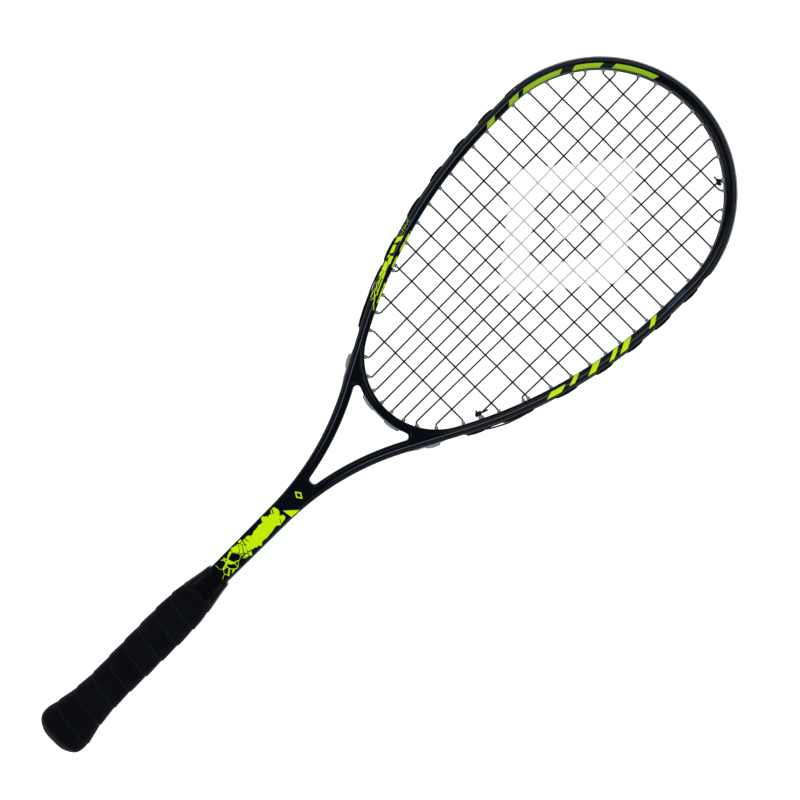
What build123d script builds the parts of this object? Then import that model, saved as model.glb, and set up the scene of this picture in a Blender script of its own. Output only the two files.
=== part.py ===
from build123d import *
from math import acos, asin, atan2, cos, degrees, pi, radians, sin, sqrt
import os

# Squash racket, strung, in millimetres.
# Origin: centre of the butt cap's flat end. +Y runs up the racket to the head,
# +Z is square to the string bed, +X is to the right of a player who looks along -Z.

# ---------------------------------------------------------------- driving dimensions
# Planform of the tube: crown, side, shoulder arc, leg, neck arc, shaft
HEAD_RADIUS = 101.65
HEAD_CENTRE_Y = 582.6
SIDE_STRAIGHT = 19.8
SHOULDER_RADIUS = 382.4
SHOULDER_ANGLE = 27.9
NECK_RADIUS = 214.0
NECK_HALF_WIDTH = 9.03
SHAFT_HALF_WIDTH = 8.5
GRIP_TOP_Y = 178.0
SHAFT_END_Y = 12.0

# Section of the tube
HOOP_WIDTH = 7.35
LEG_WIDTH = 8.8
FRAME_DEPTH = 20.0
SHAFT_DEPTH = 17.0
TAPER_LOW_Y = 214.0
TAPER_TOP_Y = 330.0
OUTER_SLOPE = (2.9, 3.5)
WINDOW_SLOPE = (3.4, 2.0)
THROAT_SLOPE = (2.6, 2.0)
OUTER_WALL = 2.3
INNER_WALL = 1.4
CAVITY_DEPTH = 14.8

# Bridge and open throat
BRIDGE_RADIUS = 54.5
BRIDGE_LOW_RADIUS = 70.0
BRIDGE_LOW_Y = 347.0
BRIDGE_HALF_SPAN = 22.0
BRIDGE_ZONE_DROP = 10.0
BRIDGE_BAND_HEIGHT = 24.0
THROAT_APEX_Y = 274.5
THROAT_APEX_FILLET = 2.7
APEX_FILLET_GROWTH = 0.6
THROAT_CORNER_FILLET = 2.9

# Grommet strips and bumper guard
GROOVE_DEPTH = 1.0
GROOVE_HALF_HEIGHT = 3.4
STRIP_HALF_HEIGHT = 3.3
STRIP_PROUD = 0.95
BUMPER_PROUD = 1.5
BUMPER_HALF_HEIGHT = 6.4
BUMPER_CHANNEL_HALF = 2.5
CHANNEL_DEPTH = 0.3
BUMPER_LOW_Y = 593.0
STRIP_TOP_Y = 592.0
STRIP_LOW_Y = 381.0
SHOULDER_STRIP_TOP_Y = 368.0
SHOULDER_STRIP_LOW_Y = 343.0
SHOULDER_HOLES_LOW_Y = 351.0
BRIDGE_STRIP_HALF_SPAN = 20.5
HOLE_RADIUS = 1.6
BARREL_RADIUS = 1.55
BORE_RADIUS = 0.9
BARREL_PROUD = 2.3
TIE_HOLE_RADIUS = 2.45
TIE_BARREL_RADIUS = 2.4
TIE_BORE_RADIUS = 1.95

# How far cutting shapes run past what they cut
BAND_OVERRUN = 5.0
EDGE_MARGIN = 1.0
HOLE_OVERRUN = 3.2
BORE_OVERRUN = 1.0

# Strings: each main by its x near the throat and near the crown, each cross by its y
STRING_RADIUS = 0.6
MAIN_LOW_X = (-66.9, -53.5, -38.8, -27.3, -16.0, -5.1, 5.2, 16.2, 27.0, 38.6, 53.5, 66.9)
MAIN_TOP_X = (-71.3, -55.6, -41.0, -28.2, -16.3, -4.9, 5.2, 16.8, 28.9, 41.8, 56.7, 71.9)
CROSS_Y = (
    648.3, 630.4, 613.3, 598.7, 583.5, 569.4, 555.4, 540.0, 527.6,
    513.8, 500.4, 486.1, 470.0, 453.3, 435.4, 412.9, 388.5,
)
TURN_INSET = 3.7
GENTLE_TURN_INSET = 1.6
GENTLE_TURN = 25.0
TURN_RADIUS = 3.0
LOOP_CORNER_RADIUS = 1.0
LOOP_BEND_RADIUS = 2.0
WEAVE_HEIGHT = 1.65
WEAVE_BEND_RADIUS = 8.0
LOOP_SPLAY = 1.7
LOOP_SHARES = (0.15, 0.85)
BUMPER_LOOP_OFFSET = 0.8
STRIP_LOOP_OFFSET = 1.75
BUMPER_LOOP_LOW_Y = 603.7
SHOULDER_EXITS = {3: (47.0, 364.2), 4: (41.9, 354.9)}
CROSSING_MARGIN = 1.5
CORNER_SHARE = 0.45

# Knots
KNOT_RADIUS = 1.7
KNOT_DROP = 1.6
TAIL_LENGTH = 6.0
TAIL_RISE = 1.04
TOP_TAIL_AXIS = (-1.0, -0.05, 0.0)
BOTTOM_TAIL_AXIS = (0.12, 1.0, 0.0)
TIE_SPACING = 1.3
TIE_REACH = 1.0

# Handle
GRIP_SECTIONS_BUTT = (
    (0.0, 20.0), (1.3, 25.5), (4.3, 34.7), (7.3, 39.6), (10.3, 41.4),
    (13.4, 42.0), (22.4, 38.6), (34.5, 34.2), (46.6, 32.0),
)
GRIP_SECTIONS_TOP = ((134.0, 32.0), (146.2, 30.4), (152.2, 28.5), (158.0, 26.7))
GRIP_DEPTH_RATIO = 0.86
GRIP_CORNER_RATIO = 0.40
WRAP_THICKNESS = 1.8
WRAP_LOW_Y = 8.0
CAP_TOP_Y = 44.0
PALLET_LOW_Y = 4.0
PALLET_WIDTH = 28.0
PALLET_TAPER_Y = 132.0
PALLET_TOP_Y = 158.0
PALLET_TOP_WIDTH = 22.4
POCKET_CLEARANCE = 0.05
TAPE_LOW_Y = 152.2
TAPE_THICKNESS = 0.3
COLLAR_TOP_Y = 176.4
COLLAR_LOW = (26.7, 23.0)
COLLAR_TOP = (20.4, 19.6)
COLLAR_CORNER = 5.0
STAPLE_WIRE = 0.45
STAPLE_SPAN = 9.0
STAPLE_LEG = 4.5
CAP_STAPLE_SEAT = 13.5
CAP_STAPLE_Y = 28.0
WRAP_STAPLE_SEAT = 16.9
WRAP_STAPLE_Y = 22.4
PLUG_LENGTH = 10.0

# ---------------------------------------------------------------- worked-out values
LEG_STRAIGHT = (
    HEAD_RADIUS - NECK_HALF_WIDTH
    - (SHOULDER_RADIUS + NECK_RADIUS) * (1 - cos(radians(SHOULDER_ANGLE)))
) / sin(radians(SHOULDER_ANGLE))
SIDE_END_Y = HEAD_CENTRE_Y - SIDE_STRAIGHT
CROWN_CENTRE = Vector(0, HEAD_CENTRE_Y)
SHOULDER_CENTRE = Vector(HEAD_RADIUS - SHOULDER_RADIUS, SIDE_END_Y)
INNER_SHOULDER_RADIUS = SHOULDER_RADIUS - HOOP_WIDTH
BRIDGE_CENTRE_Y = SIDE_END_Y - sqrt(
    (INNER_SHOULDER_RADIUS - BRIDGE_RADIUS) ** 2 - SHOULDER_CENTRE.X ** 2
)
BRIDGE_JOIN_ANGLE = degrees(atan2(SIDE_END_Y - BRIDGE_CENTRE_Y, -SHOULDER_CENTRE.X))
BRIDGE_LOW_CENTRE = (0, BRIDGE_LOW_Y + BRIDGE_LOW_RADIUS)
HEAD_TOP_Y = HEAD_CENTRE_Y + HEAD_RADIUS
MAIN_COUNT = len(MAIN_TOP_X)
CROSS_COUNT = len(CROSS_Y)

os.makedirs("parts", exist_ok=True)


# ---------------------------------------------------------------- planform helpers
def racket_face(inset: float, end_y: float) -> Sketch:
    """Filled planform of head, legs and shaft, with its edge moved in by inset."""
    with BuildSketch() as face:
        with BuildLine():
            crown = CenterArc((0, HEAD_CENTRE_Y), HEAD_RADIUS - inset, 0, 90)
            side = Line(crown @ 0, (HEAD_RADIUS - inset, SIDE_END_Y))
            shoulder = JernArc(side @ 1, side % 1, SHOULDER_RADIUS - inset, -SHOULDER_ANGLE)
            leg = Line(shoulder @ 1, shoulder @ 1 + (shoulder % 1) * LEG_STRAIGHT)
            neck = JernArc(leg @ 1, leg % 1, NECK_RADIUS + inset, SHOULDER_ANGLE)
            shaft = Line(neck @ 1, (SHAFT_HALF_WIDTH - inset, GRIP_TOP_Y))
            pallet = Line(shaft @ 1, (SHAFT_HALF_WIDTH - inset, end_y))
            mirror(about=Plane.YZ)
            Line(pallet @ 1, (inset - SHAFT_HALF_WIDTH, end_y))
        make_face()
    return face.sketch


def string_window(outset: float) -> Sketch:
    """The opening that the strings fill, with its edge moved out by outset."""
    bridge_radius = BRIDGE_RADIUS + outset
    with BuildSketch() as face:
        with BuildLine():
            crown = CenterArc((0, HEAD_CENTRE_Y), HEAD_RADIUS - HOOP_WIDTH + outset, 0, 90)
            side = Line(crown @ 0, ((crown @ 0).X, SIDE_END_Y))
            JernArc(side @ 1, side % 1, INNER_SHOULDER_RADIUS + outset, -BRIDGE_JOIN_ANGLE)
            CenterArc((0, BRIDGE_CENTRE_Y), bridge_radius, -90, 90 - BRIDGE_JOIN_ANGLE)
            mirror(about=Plane.YZ)
        make_face()
    return face.sketch


def throat_window(outset: float) -> Sketch:
    """The open throat between bridge and legs, with its edge moved out by outset."""
    low_y = THROAT_APEX_Y - outset
    with BuildSketch() as face:
        add(racket_face(LEG_WIDTH - outset, SHAFT_END_Y))
        with Locations((0, (low_y + BRIDGE_CENTRE_Y) / 2)):
            Rectangle(2 * HEAD_RADIUS, BRIDGE_CENTRE_Y - low_y, mode=Mode.INTERSECT)
        with Locations(BRIDGE_LOW_CENTRE):
            Circle(BRIDGE_LOW_RADIUS - outset, mode=Mode.SUBTRACT)
        corners = face.vertices().sort_by(Axis.Y)
        fillet(corners[:2], THROAT_APEX_FILLET + outset * APEX_FILLET_GROWTH)
        corners = face.vertices().sort_by(Axis.X)
        fillet([corners[0], corners[-1]], THROAT_CORNER_FILLET + outset)
    return face.sketch


def rim_band(outer: float, inner: float, low_y: float, high_y: float, side: int) -> Sketch:
    """Band that follows the rim between two offsets and two heights.

    side is 1 or -1 for the right or left rim, and 0 for both.
    """
    with BuildSketch() as face:
        add(racket_face(-outer, SHAFT_END_Y))
        add(racket_face(inner, SHAFT_END_Y), mode=Mode.SUBTRACT)
        with Locations((side * HEAD_RADIUS, (low_y + high_y) / 2)):
            width = 2 * HEAD_RADIUS if side else 3 * HEAD_RADIUS
            Rectangle(width, high_y - low_y, mode=Mode.INTERSECT)
    return face.sketch


def bridge_band(outer: float, inner: float, half_span: float) -> Sketch:
    """Band under the bridge, outer below its lower edge and inner above it."""
    with BuildSketch() as face:
        with Locations(BRIDGE_LOW_CENTRE):
            Circle(BRIDGE_LOW_RADIUS + outer)
            Circle(BRIDGE_LOW_RADIUS - inner, mode=Mode.SUBTRACT)
        with Locations((0, BRIDGE_LOW_Y)):
            Rectangle(2 * half_span, BRIDGE_BAND_HEIGHT, mode=Mode.INTERSECT)
    return face.sketch


# ---------------------------------------------------------------- string holes
class StringHole:
    """One hole through the tube: the axis, the outer end and the wall's thickness."""

    def __init__(self, outer: Vector, axis: Vector, depth: float, inset: float = TURN_INSET):
        self.outer = outer
        self.axis = axis
        self.depth = depth
        self.inset = inset
        self.tie = False

    def at(self, offset: float, height: float = 0.0) -> Vector:
        """Point on the axis, offset outwards from the rim."""
        return self.outer + self.axis * offset + Vector(0, 0, height)

    def turn(self) -> Vector:
        """Where the string turns from the bed into the hole."""
        return self.at(-self.depth - self.inset)

    def plane(self, offset: float) -> Plane:
        return Plane(origin=self.at(offset), x_dir=(0, 0, 1), z_dir=self.axis)


def hole_on_arc(centre: Vector, radius: float, angle: float, inset: float) -> StringHole:
    """Hole square to the hoop, on one of its arcs."""
    axis = Vector(cos(angle), sin(angle))
    return StringHole(centre + axis * radius, axis, HOOP_WIDTH, inset)


def main_hole(x: float, centre: Vector, radius: float, end: int) -> StringHole:
    """Hole of a main whose string turns at x: end is 1 at the crown, -1 at the throat."""
    reach = radius - HOOP_WIDTH - TURN_INSET
    return hole_on_arc(centre, radius, end * acos((x - centre.X) / reach), TURN_INSET)


def cross_hole(y: float) -> StringHole:
    """Right-hand hole of a cross whose string turns at height y."""
    if SIDE_END_Y < y < HEAD_CENTRE_Y:
        return StringHole(Vector(HEAD_RADIUS, y), Vector(1, 0), HOOP_WIDTH, GENTLE_TURN_INSET)
    centre, radius = SHOULDER_CENTRE, SHOULDER_RADIUS
    if y > HEAD_CENTRE_Y:
        centre, radius = CROWN_CENTRE, HEAD_RADIUS
    rise = (y - centre.Y) / (radius - HOOP_WIDTH)
    inset = GENTLE_TURN_INSET if abs(degrees(asin(rise))) < GENTLE_TURN else TURN_INSET
    angle = asin((y - centre.Y) / (radius - HOOP_WIDTH - inset))
    return hole_on_arc(centre, radius, angle, inset)


def bridge_hole(x: float) -> StringHole:
    """Hole down through the bridge, square to its upper face."""
    centre = Vector(0, BRIDGE_CENTRE_Y)
    axis = Vector(x / BRIDGE_RADIUS, -sqrt(1 - (x / BRIDGE_RADIUS) ** 2))
    inner = centre + axis * BRIDGE_RADIUS
    low = Vector(*BRIDGE_LOW_CENTRE)
    along = (inner - low).dot(axis)
    across = (inner - low).length ** 2 - along ** 2
    depth = sqrt(BRIDGE_LOW_RADIUS ** 2 - across) - along
    return StringHole(inner + axis * depth, axis, depth)


def shoulder_hole(x: float, exit_point: tuple) -> StringHole:
    """Slanting hole from the bridge's end out through the shoulder."""
    inner = Vector(x, BRIDGE_CENTRE_Y - sqrt(BRIDGE_RADIUS ** 2 - x ** 2))
    outer = Vector(*exit_point)
    return StringHole(outer, (outer - inner).normalized(), (outer - inner).length)


def mirrored(hole: StringHole) -> StringHole:
    outer = Vector(-hole.outer.X, hole.outer.Y)
    return StringHole(outer, Vector(-hole.axis.X, hole.axis.Y), hole.depth, hole.inset)


def main_low_hole(number: int) -> StringHole:
    """Lower hole of a main, counted 1 to 12 from the left."""
    x = MAIN_LOW_X[number - 1]
    rank = min(number, MAIN_COUNT + 1 - number)
    if rank >= 5:
        return bridge_hole(x)
    if rank in SHOULDER_EXITS:
        hole = shoulder_hole(abs(x), SHOULDER_EXITS[rank])
    else:
        hole = main_hole(abs(x), SHOULDER_CENTRE, SHOULDER_RADIUS, -1)
    return mirrored(hole) if x < 0 else hole


MAIN_TOP = [main_hole(x, CROWN_CENTRE, HEAD_RADIUS, 1) for x in MAIN_TOP_X]
MAIN_LOW = [main_low_hole(number) for number in range(1, MAIN_COUNT + 1)]
CROSS_RIGHT = [cross_hole(y) for y in CROSS_Y]
CROSS_LEFT = [mirrored(hole) for hole in CROSS_RIGHT]
TIE_TOP = MAIN_TOP[10]
TIE_LOW = MAIN_LOW[10]
TIE_TOP.tie = True
TIE_LOW.tie = True
ALL_HOLES = MAIN_TOP + MAIN_LOW + CROSS_RIGHT + CROSS_LEFT

# ---------------------------------------------------------------- the moulded tube
with BuildPart() as cavity:
    with BuildSketch():
        add(racket_face(OUTER_WALL, SHAFT_END_Y - BAND_OVERRUN))
        add(string_window(INNER_WALL), mode=Mode.SUBTRACT)
        add(throat_window(OUTER_WALL), mode=Mode.SUBTRACT)
    extrude(amount=CAVITY_DEPTH / 2, both=True)

with BuildPart() as side_profile:
    with BuildSketch(Plane.YZ):
        with BuildLine():
            Polyline(
                (SHAFT_END_Y, 0),
                (SHAFT_END_Y, SHAFT_DEPTH / 2),
                (TAPER_LOW_Y, SHAFT_DEPTH / 2),
                (TAPER_TOP_Y, FRAME_DEPTH / 2),
                (HEAD_TOP_Y, FRAME_DEPTH / 2),
                (HEAD_TOP_Y, 0),
            )
            mirror(about=Plane.XZ)
        make_face()
    extrude(amount=HEAD_RADIUS, both=True)

with BuildPart() as moulding:
    with BuildSketch():
        add(racket_face(0, SHAFT_END_Y))
        add(string_window(0), mode=Mode.SUBTRACT)
        add(throat_window(0), mode=Mode.SUBTRACT)
    extrude(amount=FRAME_DEPTH / 2, both=True)
    for end in (-1, 0):
        flat = moulding.faces().sort_by(Axis.Z)[end]
        rim = [edge for edge in flat.outer_wire().edges() if edge.center().Y > SHAFT_END_Y + EDGE_MARGIN]
        chamfer(rim, *OUTER_SLOPE, reference=flat)
        for window, slope in ((0, THROAT_SLOPE), (1, WINDOW_SLOPE)):
            flat = moulding.faces().sort_by(Axis.Z)[end]
            wires = sorted(flat.inner_wires(), key=lambda wire: wire.center().Y)
            chamfer(wires[window].edges(), *slope, reference=flat)
    add(side_profile.part, mode=Mode.INTERSECT)
    add(cavity.part, mode=Mode.SUBTRACT)
    with BuildSketch():
        add(rim_band(BAND_OVERRUN, GROOVE_DEPTH, STRIP_LOW_Y, HEAD_TOP_Y + BAND_OVERRUN, 0))
        add(rim_band(BAND_OVERRUN, GROOVE_DEPTH, SHOULDER_STRIP_LOW_Y, SHOULDER_STRIP_TOP_Y, 0))
        add(bridge_band(GROOVE_DEPTH, GROOVE_DEPTH, BRIDGE_STRIP_HALF_SPAN))
    extrude(amount=GROOVE_HALF_HEIGHT, both=True, mode=Mode.SUBTRACT)
    for hole in ALL_HOLES:
        with Locations(hole.plane(-hole.depth / 2)):
            radius = TIE_HOLE_RADIUS if hole.tie else HOLE_RADIUS
            Cylinder(radius, hole.depth + 2 * HOLE_OVERRUN, mode=Mode.SUBTRACT)

with BuildPart() as bridge_zone:
    with Locations((0, (BRIDGE_LOW_Y + BRIDGE_CENTRE_Y) / 2 - BRIDGE_ZONE_DROP, 0)):
        Box(2 * BRIDGE_HALF_SPAN, BRIDGE_CENTRE_Y - BRIDGE_LOW_Y, 2 * FRAME_DEPTH)

with BuildPart() as frame_tube:
    add(moulding.part)
    add(bridge_zone.part, mode=Mode.SUBTRACT)
frame_tube.part.label = "frame_tube"
export_step(frame_tube.part, "parts/frame_tube.step")

with BuildPart() as throat_bridge:
    add(moulding.part)
    add(bridge_zone.part, mode=Mode.INTERSECT)
throat_bridge.part.label = "throat_bridge"
export_step(throat_bridge.part, "parts/throat_bridge.step")


# ---------------------------------------------------------------- guard and strips
def grommet_strip(label: str, base: Sketch, rail: Sketch, channel: Sketch, holes: list) -> Part:
    """A strip in the rim's groove, with one bored barrel for each string hole.

    A guard has a wider rail outside the base, with a channel along its middle.
    """
    with BuildPart() as strip:
        with BuildSketch():
            add(base)
        extrude(amount=STRIP_HALF_HEIGHT, both=True)
        if rail:
            with BuildSketch():
                add(rail)
            extrude(amount=BUMPER_HALF_HEIGHT, both=True)
            with BuildSketch():
                add(channel)
            extrude(amount=BUMPER_CHANNEL_HALF, both=True, mode=Mode.SUBTRACT)
        for hole in holes:
            low = -hole.depth - BARREL_PROUD
            with Locations(hole.plane((low - GROOVE_DEPTH / 2) / 2)):
                radius = TIE_BARREL_RADIUS if hole.tie else BARREL_RADIUS
                Cylinder(radius, -GROOVE_DEPTH / 2 - low)
        for hole in holes:
            low = -hole.depth - BARREL_PROUD - BORE_OVERRUN
            high = STRIP_PROUD + BORE_OVERRUN
            with Locations(hole.plane((low + high) / 2)):
                radius = TIE_BORE_RADIUS if hole.tie else BORE_RADIUS
                Cylinder(radius, high - low, mode=Mode.SUBTRACT)
    strip.part.label = label
    return strip.part


def holes_between(holes: list, low_y: float, high_y: float, side: int) -> list:
    return [
        hole for hole in holes
        if low_y < hole.outer.Y < high_y and (side == 0 or side * hole.outer.X > 0)
    ]


head_bumper_guard = grommet_strip(
    "head_bumper_guard",
    rim_band(0, GROOVE_DEPTH, BUMPER_LOW_Y, HEAD_TOP_Y + BAND_OVERRUN, 0),
    rim_band(BUMPER_PROUD, 0, BUMPER_LOW_Y, HEAD_TOP_Y + BAND_OVERRUN, 0),
    rim_band(2 * BUMPER_PROUD, CHANNEL_DEPTH, BUMPER_LOW_Y, HEAD_TOP_Y + BAND_OVERRUN, 0),
    holes_between(ALL_HOLES, BUMPER_LOW_Y, HEAD_TOP_Y + BAND_OVERRUN, 0),
)
export_step(head_bumper_guard, "parts/head_bumper_guard.step")

for name, side in (("left", -1), ("right", 1)):
    strip = grommet_strip(
        f"{name}_grommet_strip",
        rim_band(STRIP_PROUD, GROOVE_DEPTH, STRIP_LOW_Y, STRIP_TOP_Y, side),
        None,
        None,
        holes_between(ALL_HOLES, STRIP_LOW_Y, STRIP_TOP_Y, side),
    )
    export_step(strip, f"parts/{name}_grommet_strip.step")
    strip = grommet_strip(
        f"{name}_shoulder_grommet_strip",
        rim_band(STRIP_PROUD, GROOVE_DEPTH, SHOULDER_STRIP_LOW_Y, SHOULDER_STRIP_TOP_Y, side),
        None,
        None,
        holes_between(ALL_HOLES, SHOULDER_HOLES_LOW_Y, SHOULDER_STRIP_TOP_Y, side),
    )
    export_step(strip, f"parts/{name}_shoulder_grommet_strip.step")

bridge_grommet_strip = grommet_strip(
    "bridge_grommet_strip",
    bridge_band(STRIP_PROUD, GROOVE_DEPTH, BRIDGE_STRIP_HALF_SPAN),
    None,
    None,
    MAIN_LOW[4:8],
)
export_step(bridge_grommet_strip, "parts/bridge_grommet_strip.step")


# ---------------------------------------------------------------- strings
def crossings_of(index: int, start: Vector, finish: Vector) -> list:
    """Points where a cross passes over or under the mains, from start to finish."""
    points = []
    for main in range(MAIN_COUNT):
        low, top = MAIN_LOW[main].turn(), MAIN_TOP[main].turn()
        x = low.X + (top.X - low.X) * (start.Y - low.Y) / (top.Y - low.Y)
        if abs(x) < abs(start.X) - CROSSING_MARGIN and low.Y < start.Y < top.Y:
            height = WEAVE_HEIGHT if (main + index) % 2 else -WEAVE_HEIGHT
            points.append(Vector(x, start.Y, height))
    return points if start.X < finish.X else points[::-1]


def tie_end(hole: StringHole, height: float) -> Vector:
    """Where the string that is tied off ends, at the inner mouth of its hole."""
    return hole.at(-hole.depth - BARREL_PROUD - TIE_REACH, height)


def loop_offset(hole: StringHole) -> float:
    """How far outside the rim the string lies as it leaves a hole."""
    return BUMPER_LOOP_OFFSET if hole.outer.Y > BUMPER_LOOP_LOW_Y else STRIP_LOOP_OFFSET


def loop_points(start: StringHole, end: StringHole, splay: float) -> list:
    """Corners of the string's path outside the rim, from one hole to the next."""
    points = [start.at(loop_offset(start))]
    for share in LOOP_SHARES:
        axis = (start.axis * (1 - share) + end.axis * share).normalized()
        chord = start.outer * (1 - share) + end.outer * share
        half_turn = radians(start.axis.get_angle(end.axis)) / 2
        span = (end.outer - start.outer).length
        bulge = span * half_turn * share * (1 - share)
        lift = loop_offset(start) * (1 - share) + loop_offset(end) * share
        points.append(chord + axis * (bulge + lift) + Vector(0, 0, splay))
    points.append(end.at(loop_offset(end)))
    return points


def radii_for(points: list, wanted: list) -> list:
    """Corner radii, held to what the two runs beside each corner allow."""
    radii = []
    for before, corner, after, radius in zip(points, points[1:], points[2:], wanted):
        half_turn = radians((corner - before).get_angle(after - corner)) / 2
        shorter = min((corner - before).length, (after - corner).length)
        radii.append(min(radius, CORNER_SHARE * shorter / sin(half_turn) * cos(half_turn)))
    return radii


def string_solid(label: str, points: list, wanted: list) -> Part:
    """Round string along straight runs joined by tangent arcs."""
    radii = radii_for(points, wanted)
    with BuildPart() as string:
        with BuildLine() as path:
            FilletPolyline(*points, radius=radii)
        with BuildSketch(Plane(origin=path.line @ 0, z_dir=path.line % 0)):
            Circle(STRING_RADIUS)
        sweep()
    string.part.label = label
    length = sum(edge.length for edge in path.line.edges())
    expected = length * pi * STRING_RADIUS ** 2
    print(f"{label}: length {length:.0f}, volume {string.part.volume:.1f} of {expected:.1f}")
    print(f"{label}: smallest corner radius {min(radii):.2f}")
    return string.part


# The mains run down and up by turns, from the left loop beside cross 1 to the top knot
first_loop = loop_points(CROSS_LEFT[0], MAIN_TOP[0], 0)
joint_point = (first_loop[1] + first_loop[2]) / 2
loop_radii = [LOOP_CORNER_RADIUS, LOOP_BEND_RADIUS, LOOP_BEND_RADIUS, LOOP_CORNER_RADIUS]
main_path = [joint_point, first_loop[3]]
main_radii = [LOOP_CORNER_RADIUS]
for index in range(MAIN_COUNT):
    going_down = index % 2 == 0
    start = MAIN_TOP[index] if going_down else MAIN_LOW[index]
    finish = MAIN_LOW[index] if going_down else MAIN_TOP[index]
    main_path += [start.turn(), finish.turn()]
    main_radii += [TURN_RADIUS, TURN_RADIUS]
    if index < MAIN_COUNT - 1:
        following = MAIN_LOW[index + 1] if going_down else MAIN_TOP[index + 1]
        splay = -LOOP_SPLAY if index in (0, MAIN_COUNT - 2) else 0
        main_path += loop_points(finish, following, splay)
        main_radii += loop_radii
main_path += loop_points(MAIN_TOP[-1], TIE_TOP, -LOOP_SPLAY)[:3]
main_path += [TIE_TOP.at(BUMPER_LOOP_OFFSET, -TIE_SPACING), tie_end(TIE_TOP, -TIE_SPACING)]
main_radii += loop_radii
main_strings = string_solid("main_strings", main_path, main_radii)
export_step(main_strings, "parts/main_strings.step")

# The crosses run right and left by turns, over and under the mains, to the lower knot
cross_path = [joint_point, first_loop[0]]
cross_radii = [LOOP_CORNER_RADIUS]
for index in range(CROSS_COUNT):
    going_right = index % 2 == 0
    start = CROSS_LEFT[index] if going_right else CROSS_RIGHT[index]
    finish = CROSS_RIGHT[index] if going_right else CROSS_LEFT[index]
    crossings = crossings_of(index, start.turn(), finish.turn())
    cross_path += [start.turn(), *crossings, finish.turn()]
    cross_radii += [TURN_RADIUS] + [WEAVE_BEND_RADIUS] * len(crossings) + [TURN_RADIUS]
    if index < CROSS_COUNT - 1:
        following = CROSS_RIGHT[index + 1] if going_right else CROSS_LEFT[index + 1]
        cross_path += loop_points(finish, following, LOOP_SPLAY)
        cross_radii += loop_radii
cross_path += loop_points(CROSS_RIGHT[-1], TIE_LOW, LOOP_SPLAY)[:3]
cross_path += [TIE_LOW.at(STRIP_LOOP_OFFSET, TIE_SPACING), tie_end(TIE_LOW, TIE_SPACING)]
cross_radii += loop_radii
cross_strings = string_solid("cross_strings", cross_path, cross_radii)
export_step(cross_strings, "parts/cross_strings.step")

# Each knot grips the second main from the right, just inside its tie-off barrel
for name, hole, away, tail_axis in (
    ("top", TIE_TOP, Vector(0, -1, 0), TOP_TAIL_AXIS),
    ("bottom", TIE_LOW, Vector(0, 1, 0), BOTTOM_TAIL_AXIS),
):
    centre = hole.turn() + away * KNOT_DROP
    with BuildPart() as knot:
        with Locations(centre):
            Sphere(KNOT_RADIUS)
        with Locations(Plane(origin=centre, z_dir=hole.axis)):
            Torus(KNOT_RADIUS, STRING_RADIUS)
        start = centre + Vector(0, 0, TAIL_RISE)
        with Locations(Plane(origin=start, z_dir=tail_axis)):
            Cylinder(STRING_RADIUS, TAIL_LENGTH, align=(Align.CENTER, Align.CENTER, Align.MIN))
        add(main_strings, mode=Mode.SUBTRACT)
        add(cross_strings, mode=Mode.SUBTRACT)
    knot.part.label = f"tie_off_knot_{name}"
    export_step(knot.part, f"parts/tie_off_knot_{name}.step")


# ---------------------------------------------------------------- handle
def rounded_section(y: float, width: float) -> Sketch:
    """Grip section square to the shaft at height y, flatter front and back."""
    depth = width * GRIP_DEPTH_RATIO
    with BuildSketch(Plane.XZ.offset(-y)) as section:
        RectangleRounded(width, depth, depth * GRIP_CORNER_RATIO)
    return section.sketch


def lofted(sections: list, shrink: float) -> Part:
    """Solid through rounded sections, each narrower all round by shrink."""
    with BuildPart() as solid:
        for y, width in sections:
            add(rounded_section(y, width - 2 * shrink))
        loft(ruled=True)
    return solid.part


def grip_body(shrink: float) -> Part:
    """Outer shape of the handle, from the domed end to the collar."""
    middle = [GRIP_SECTIONS_BUTT[-1], GRIP_SECTIONS_TOP[0]]
    with BuildPart() as body:
        add(lofted(GRIP_SECTIONS_BUTT, shrink))
        add(lofted(middle, shrink))
        add(lofted(GRIP_SECTIONS_TOP, shrink))
    return body.part


def slab(low_y: float, high_y: float) -> Part:
    """Block that holds all of the handle between two heights."""
    with BuildPart() as block:
        with Locations((0, (low_y + high_y) / 2, 0)):
            Box(3 * PALLET_WIDTH, high_y - low_y, 3 * PALLET_WIDTH)
    return block.part


def staple(corners: list) -> Part:
    """U-shaped wire through four corners: leg, crown, leg."""
    with BuildPart() as wire:
        with BuildLine() as path:
            Polyline(*corners)
        with BuildSketch(Plane(origin=path.line @ 0, z_dir=path.line % 0)):
            Circle(STAPLE_WIRE)
        sweep(transition=Transition.RIGHT)
    return wire.part


wrap_body = grip_body(0)
core_body = grip_body(WRAP_THICKNESS)

with BuildPart() as butt_cap_staples:
    for sign in (1, -1):
        seat = sign * CAP_STAPLE_SEAT
        tip = sign * (CAP_STAPLE_SEAT - STAPLE_LEG)
        half = STAPLE_SPAN / 2
        y = CAP_STAPLE_Y
        add(staple([(-half, y, tip), (-half, y, seat), (half, y, seat), (half, y, tip)]))
butt_cap_staples.part.label = "butt_cap_staples"
export_step(butt_cap_staples.part, "parts/butt_cap_staples.step")

with BuildPart() as grip_start_staple:
    seat, tip = WRAP_STAPLE_SEAT, WRAP_STAPLE_SEAT - STAPLE_LEG
    half = STAPLE_SPAN / 2
    y = WRAP_STAPLE_Y
    add(staple([(tip, y, -half), (seat, y, -half), (seat, y, half), (tip, y, half)]))
grip_start_staple.part.label = "grip_start_staple"
export_step(grip_start_staple.part, "parts/grip_start_staple.step")

with BuildPart() as pallet:
    add(lofted([(PALLET_LOW_Y, PALLET_WIDTH), (PALLET_TAPER_Y, PALLET_WIDTH)], 0))
    add(lofted([(PALLET_TAPER_Y, PALLET_WIDTH), (PALLET_TOP_Y, PALLET_TOP_WIDTH)], 0))

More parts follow.
